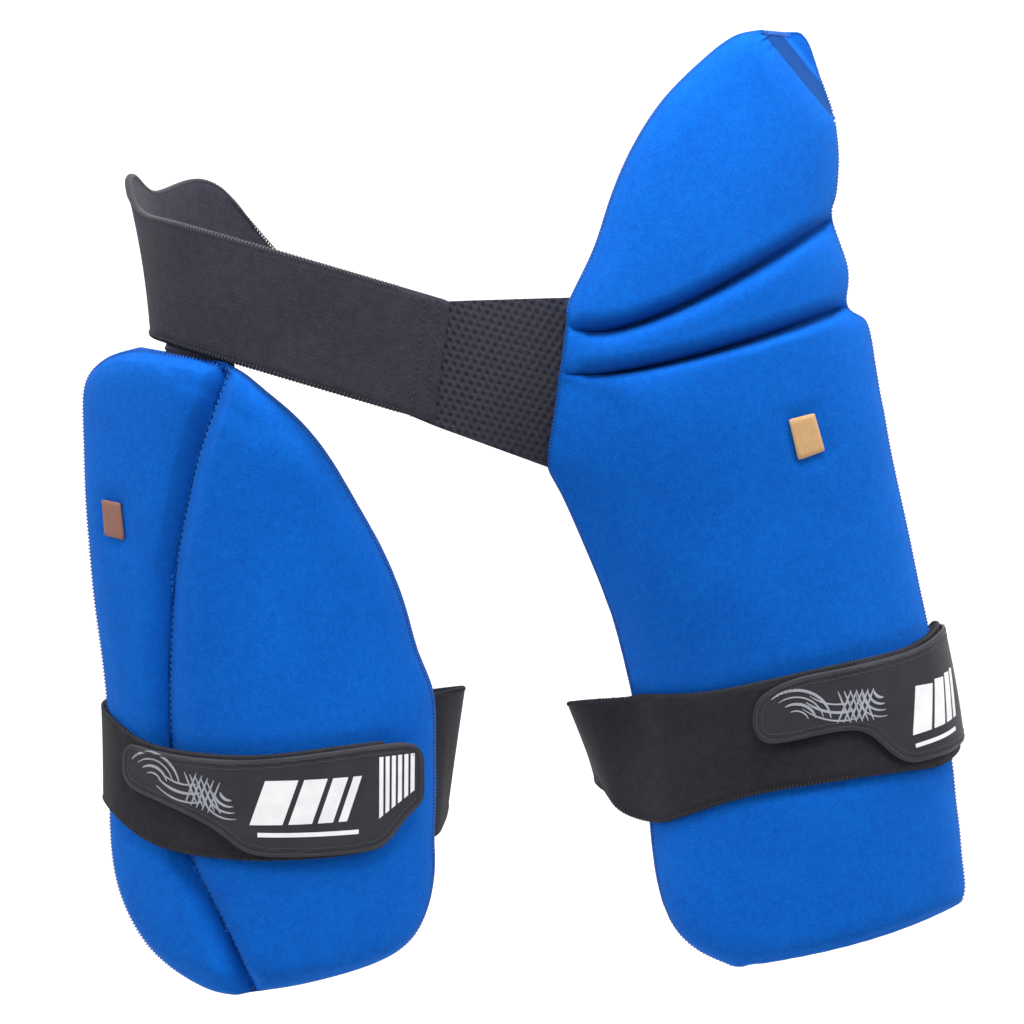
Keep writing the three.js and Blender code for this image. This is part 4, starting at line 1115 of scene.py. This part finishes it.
def hatching(relief, start, size, count, lean, slope, width):
    """Thin crossed lines in a lozenge net."""
    for k in range(count):
        share = k / (count - 1)
        u = start[0] + share * size[0]
        base = start[1] + slope * share * size[0]
        relief.line([(u, base), (u + lean, base + size[1])], width, THIN_END)
        relief.line([(u + lean, base), (u, base + size[1])], width, THIN_END)


def tongue_motif(relief, start, slope, rise):
    """Ripples, a lozenge net and a fan of bows along a tongue, from its tip at the start."""

    def spot(along, up):
        return start[0] + along, start[1] + slope * along + up

    for k in range(4):
        turns = (20 - 4 * k, 118 + 6 * k)
        relief.arc(spot(0.006, 0.002), 0.006 + 0.0035 * k, turns, 0.0008 + 0.0006 * (k % 2))
    for k in range(3):
        centre = spot(0.0255 + 0.001 * k, 0.032)
        relief.arc(centre, 0.022 + 0.0042 * k, (-128, -72), 0.0008 + 0.0005 * (k % 2))
    hatching(relief, spot(0.0255, 0.0005), (0.012, rise), 5, 0.0065, slope, 0.0009)
    for k in range(4):
        relief.arc(spot(0.0485, 0.0155), 0.0045 + 0.0032 * k, (188, 282), 0.0014 - 0.0002 * k)


tab_wraps = {}
for side, tab_facts in TABS.items():
    tab = smoothed(solid_copy(f"{side}_strap_tab", f"{side}_hook_tab"), 2)
    tab.data.materials.append(tab_face)
    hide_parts(f"{side}_strap_tab")
    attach(tab, "root")
    wrap = Wrap(tab, *tab_facts["wrap"])
    tab_wraps[side] = wrap
    outline = tab_outline(wrap, tab_facts["ends"], *tab_facts["heights"])
    bead = Relief(wrap, BEAD_LIFT)
    bead_line = inset(outline, -BEAD_INSET)
    bead.line(np.vstack([bead_line, bead_line[:1]]), BEAD_WIDTH)
    bead.make(f"{side}_tab_bead", bead_face)
    stitch_line = inset(outline, -STITCH_INSET)
    stitch_route = [wrap.at(u, w) for u, w in stitch_line]
    stitch_route = [(p + STITCH_LIFT * n, n) for p, n in stitch_route if p is not None]
    points, outs = zip(*stitch_route)
    tab_row = sewn(f"{side}_tab_stitches", STITCHES, points, outs, TAB_STITCH_SIZES, grey_thread)
    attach(tab_row, "root")

INNER_BARS = {"start": (-0.0095, -0.2145), "widths": (0.0145, 0.0105, 0.007, 0.004)}
INNER_BARS |= {"heights": 0.0225, "gap": 0.0026, "slant": 0.32, "slope": 0.0}
INNER_UNDERLINE = ((-0.006, -0.2195), (0.04, -0.2205))
STRIPES = 6
STRIPE_START = (0.0502, -0.215)
STRIPE_PITCH = 0.0032
STRIPE_WIDTH = 0.002
STRIPE_RISE = 0.0022
STRIPE_SLANT = 0.0014
STRIPE_TOP = -0.1835

inner_white = Relief(tab_wraps["inner"], PRINT_LIFT)
slanted_bars(inner_white, **INNER_BARS)
inner_white.line(INNER_UNDERLINE, width=0.0022)
for k in range(STRIPES):
    left = STRIPE_START[0] + STRIPE_PITCH * k
    right = left + STRIPE_WIDTH
    low = STRIPE_START[1] + STRIPE_RISE * k
    inner_white.bar(((left, low), (right, low + STRIPE_SLANT), (right, STRIPE_TOP), (left, STRIPE_TOP)))
inner_white.make("inner_tab_white_print", white_print)

inner_grey = Relief(tab_wraps["inner"], PRINT_LIFT)
tongue_motif(inner_grey, start=(-0.067, -0.199), slope=-0.3, rise=0.016)
inner_grey.make("inner_tab_grey_print", grey_print)

OUTER_BARS = {"start": (0.0635, -0.172), "widths": (0.0125, 0.009, 0.006, 0.0035)}
OUTER_BARS |= {"heights": 0.0245, "gap": 0.0022, "slant": 0.12, "slope": 0.12}
OUTER_UNDERLINE = ((0.065, -0.1775), (0.0985, -0.1735))

outer_white = Relief(tab_wraps["outer"], PRINT_LIFT)
slanted_bars(outer_white, **OUTER_BARS)
outer_white.line(OUTER_UNDERLINE, width=0.002)
outer_white.make("outer_tab_white_print", white_print)

outer_grey = Relief(tab_wraps["outer"], PRINT_LIFT)
tongue_motif(outer_grey, start=(-0.003, -0.1645), slope=0.05, rise=0.016)
outer_grey.make("outer_tab_grey_print", grey_print)


# Labels
# Small square labels in a close satin weave with folded edges, tan on the outer guard and brown on
# the inner one. Each is sewn down near its guard's edge.
LABEL_COLOURS = {"outer": (0.62, 0.37, 0.17), "inner": (0.27, 0.115, 0.085)}
WEFT_PITCH = 0.0005
WARP_PITCH = 0.0008


def woven_label(name, colour):
    """A close satin weave, a little uneven in its shade."""
    build = Finish(name, roughness=0.6, sheen=0.1, gloss=0.4)
    split = build.node("ShaderNodeSeparateXYZ", {}, [build.place()])
    across = Value(build, split.socket.node.outputs[2])
    weave = across.wave(WEFT_PITCH).step(0.0, WEFT_PITCH / 2) * 0.5
    weave = weave + split.wave(WARP_PITCH).step(0.0, WARP_PITCH / 2) * 0.5
    fray = build.noise(build.place(), 500.0, 3.0)
    shade = weave * 0.35 + fray * 0.65
    return build.finish(build.shades(shade, colour, 0.7, 1.2), weave, distance=0.0002, strength=0.5)


for side, colour in LABEL_COLOURS.items():
    label = smoothed(solid_copy(f"{side}_label", f"{side}_woven_label"), 2)
    label.data.materials.append(woven_label(f"{side}_label_weave", colour))
    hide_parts(f"{side}_label")
    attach(label, "root")


# Studio
# A plain pale sweep under and behind the set. Two large soft lights stand in front, left and right,
# a smaller one hangs above, and two more light the sweep behind.
FLOOR_LEVEL = -0.9
FLOOR_SHADE = (0.93, 0.93, 0.93, 1)
FLOOR_FRONT = -4.0
FLOOR_BACK = 2.2
FLOOR_HALF = 6.0
SWEEP_RADIUS = 1.2
SWEEP_HEIGHT = 4.5
ROOM_LIGHT = 0.3


def sweep():
    """The floor, which bends up into an upright back."""
    profile = [(FLOOR_FRONT, 0.0), (FLOOR_BACK, 0.0)]
    for k in range(13):
        angle = math.pi / 2 * k / 12
        rise = SWEEP_RADIUS - SWEEP_RADIUS * math.cos(angle)
        profile.append((FLOOR_BACK + SWEEP_RADIUS * math.sin(angle), rise))
    profile.append((FLOOR_BACK + SWEEP_RADIUS, SWEEP_HEIGHT))
    rows = [[(x, y, FLOOR_LEVEL + z) for y, z in profile] for x in (-FLOOR_HALF, FLOOR_HALF)]
    count = len(profile)
    faces = [(k, k + 1, count + k + 1, count + k) for k in range(count - 1)]
    mesh = bpy.data.meshes.new("sweep")
    mesh.from_pydata(rows[0] + rows[1], [], faces)
    build = Finish("pale_floor", roughness=0.9)
    build.shader.inputs["Base Color"].default_value = FLOOR_SHADE
    mesh.materials.append(build.material)
    added("sweep", mesh)


def soft_light(name, place, target, size, power):
    light = bpy.data.objects.new(name, bpy.data.lights.new(name, "AREA"))
    light.data.shape = "RECTANGLE"
    light.data.size = size
    light.data.size_y = size
    light.data.energy = power
    light.location = place
    light.rotation_euler = (target - Vector(place)).to_track_quat("-Z", "Y").to_euler()
    scene.collection.objects.link(light)


sweep()
soft_light("left_light", (-1.5, -0.9, 0.9), CAMERA_TARGET, size=0.8, power=15.5)
soft_light("right_light", (1.7, -0.8, 1.1), CAMERA_TARGET, size=0.8, power=15)
soft_light("top_light", (0.1, -0.5, 0.85), Vector((0, 0, 0.1)), size=0.5, power=13)
for side, way in (("left", -1), ("right", 1)):
    target = Vector((0.6 * way, 3.0, 0.4))
    soft_light(f"{side}_backdrop_light", (1.6 * way, 0.6, 1.6), target, size=1.6, power=60)

world = bpy.data.worlds.new("studio")
scene.world = world
world.use_nodes = True
backdrop = world.node_tree.nodes["Background"]
backdrop.inputs["Color"].default_value = (1, 1, 1, 1)
backdrop.inputs["Strength"].default_value = ROOM_LIGHT
scene.view_settings.view_transform = "Standard"
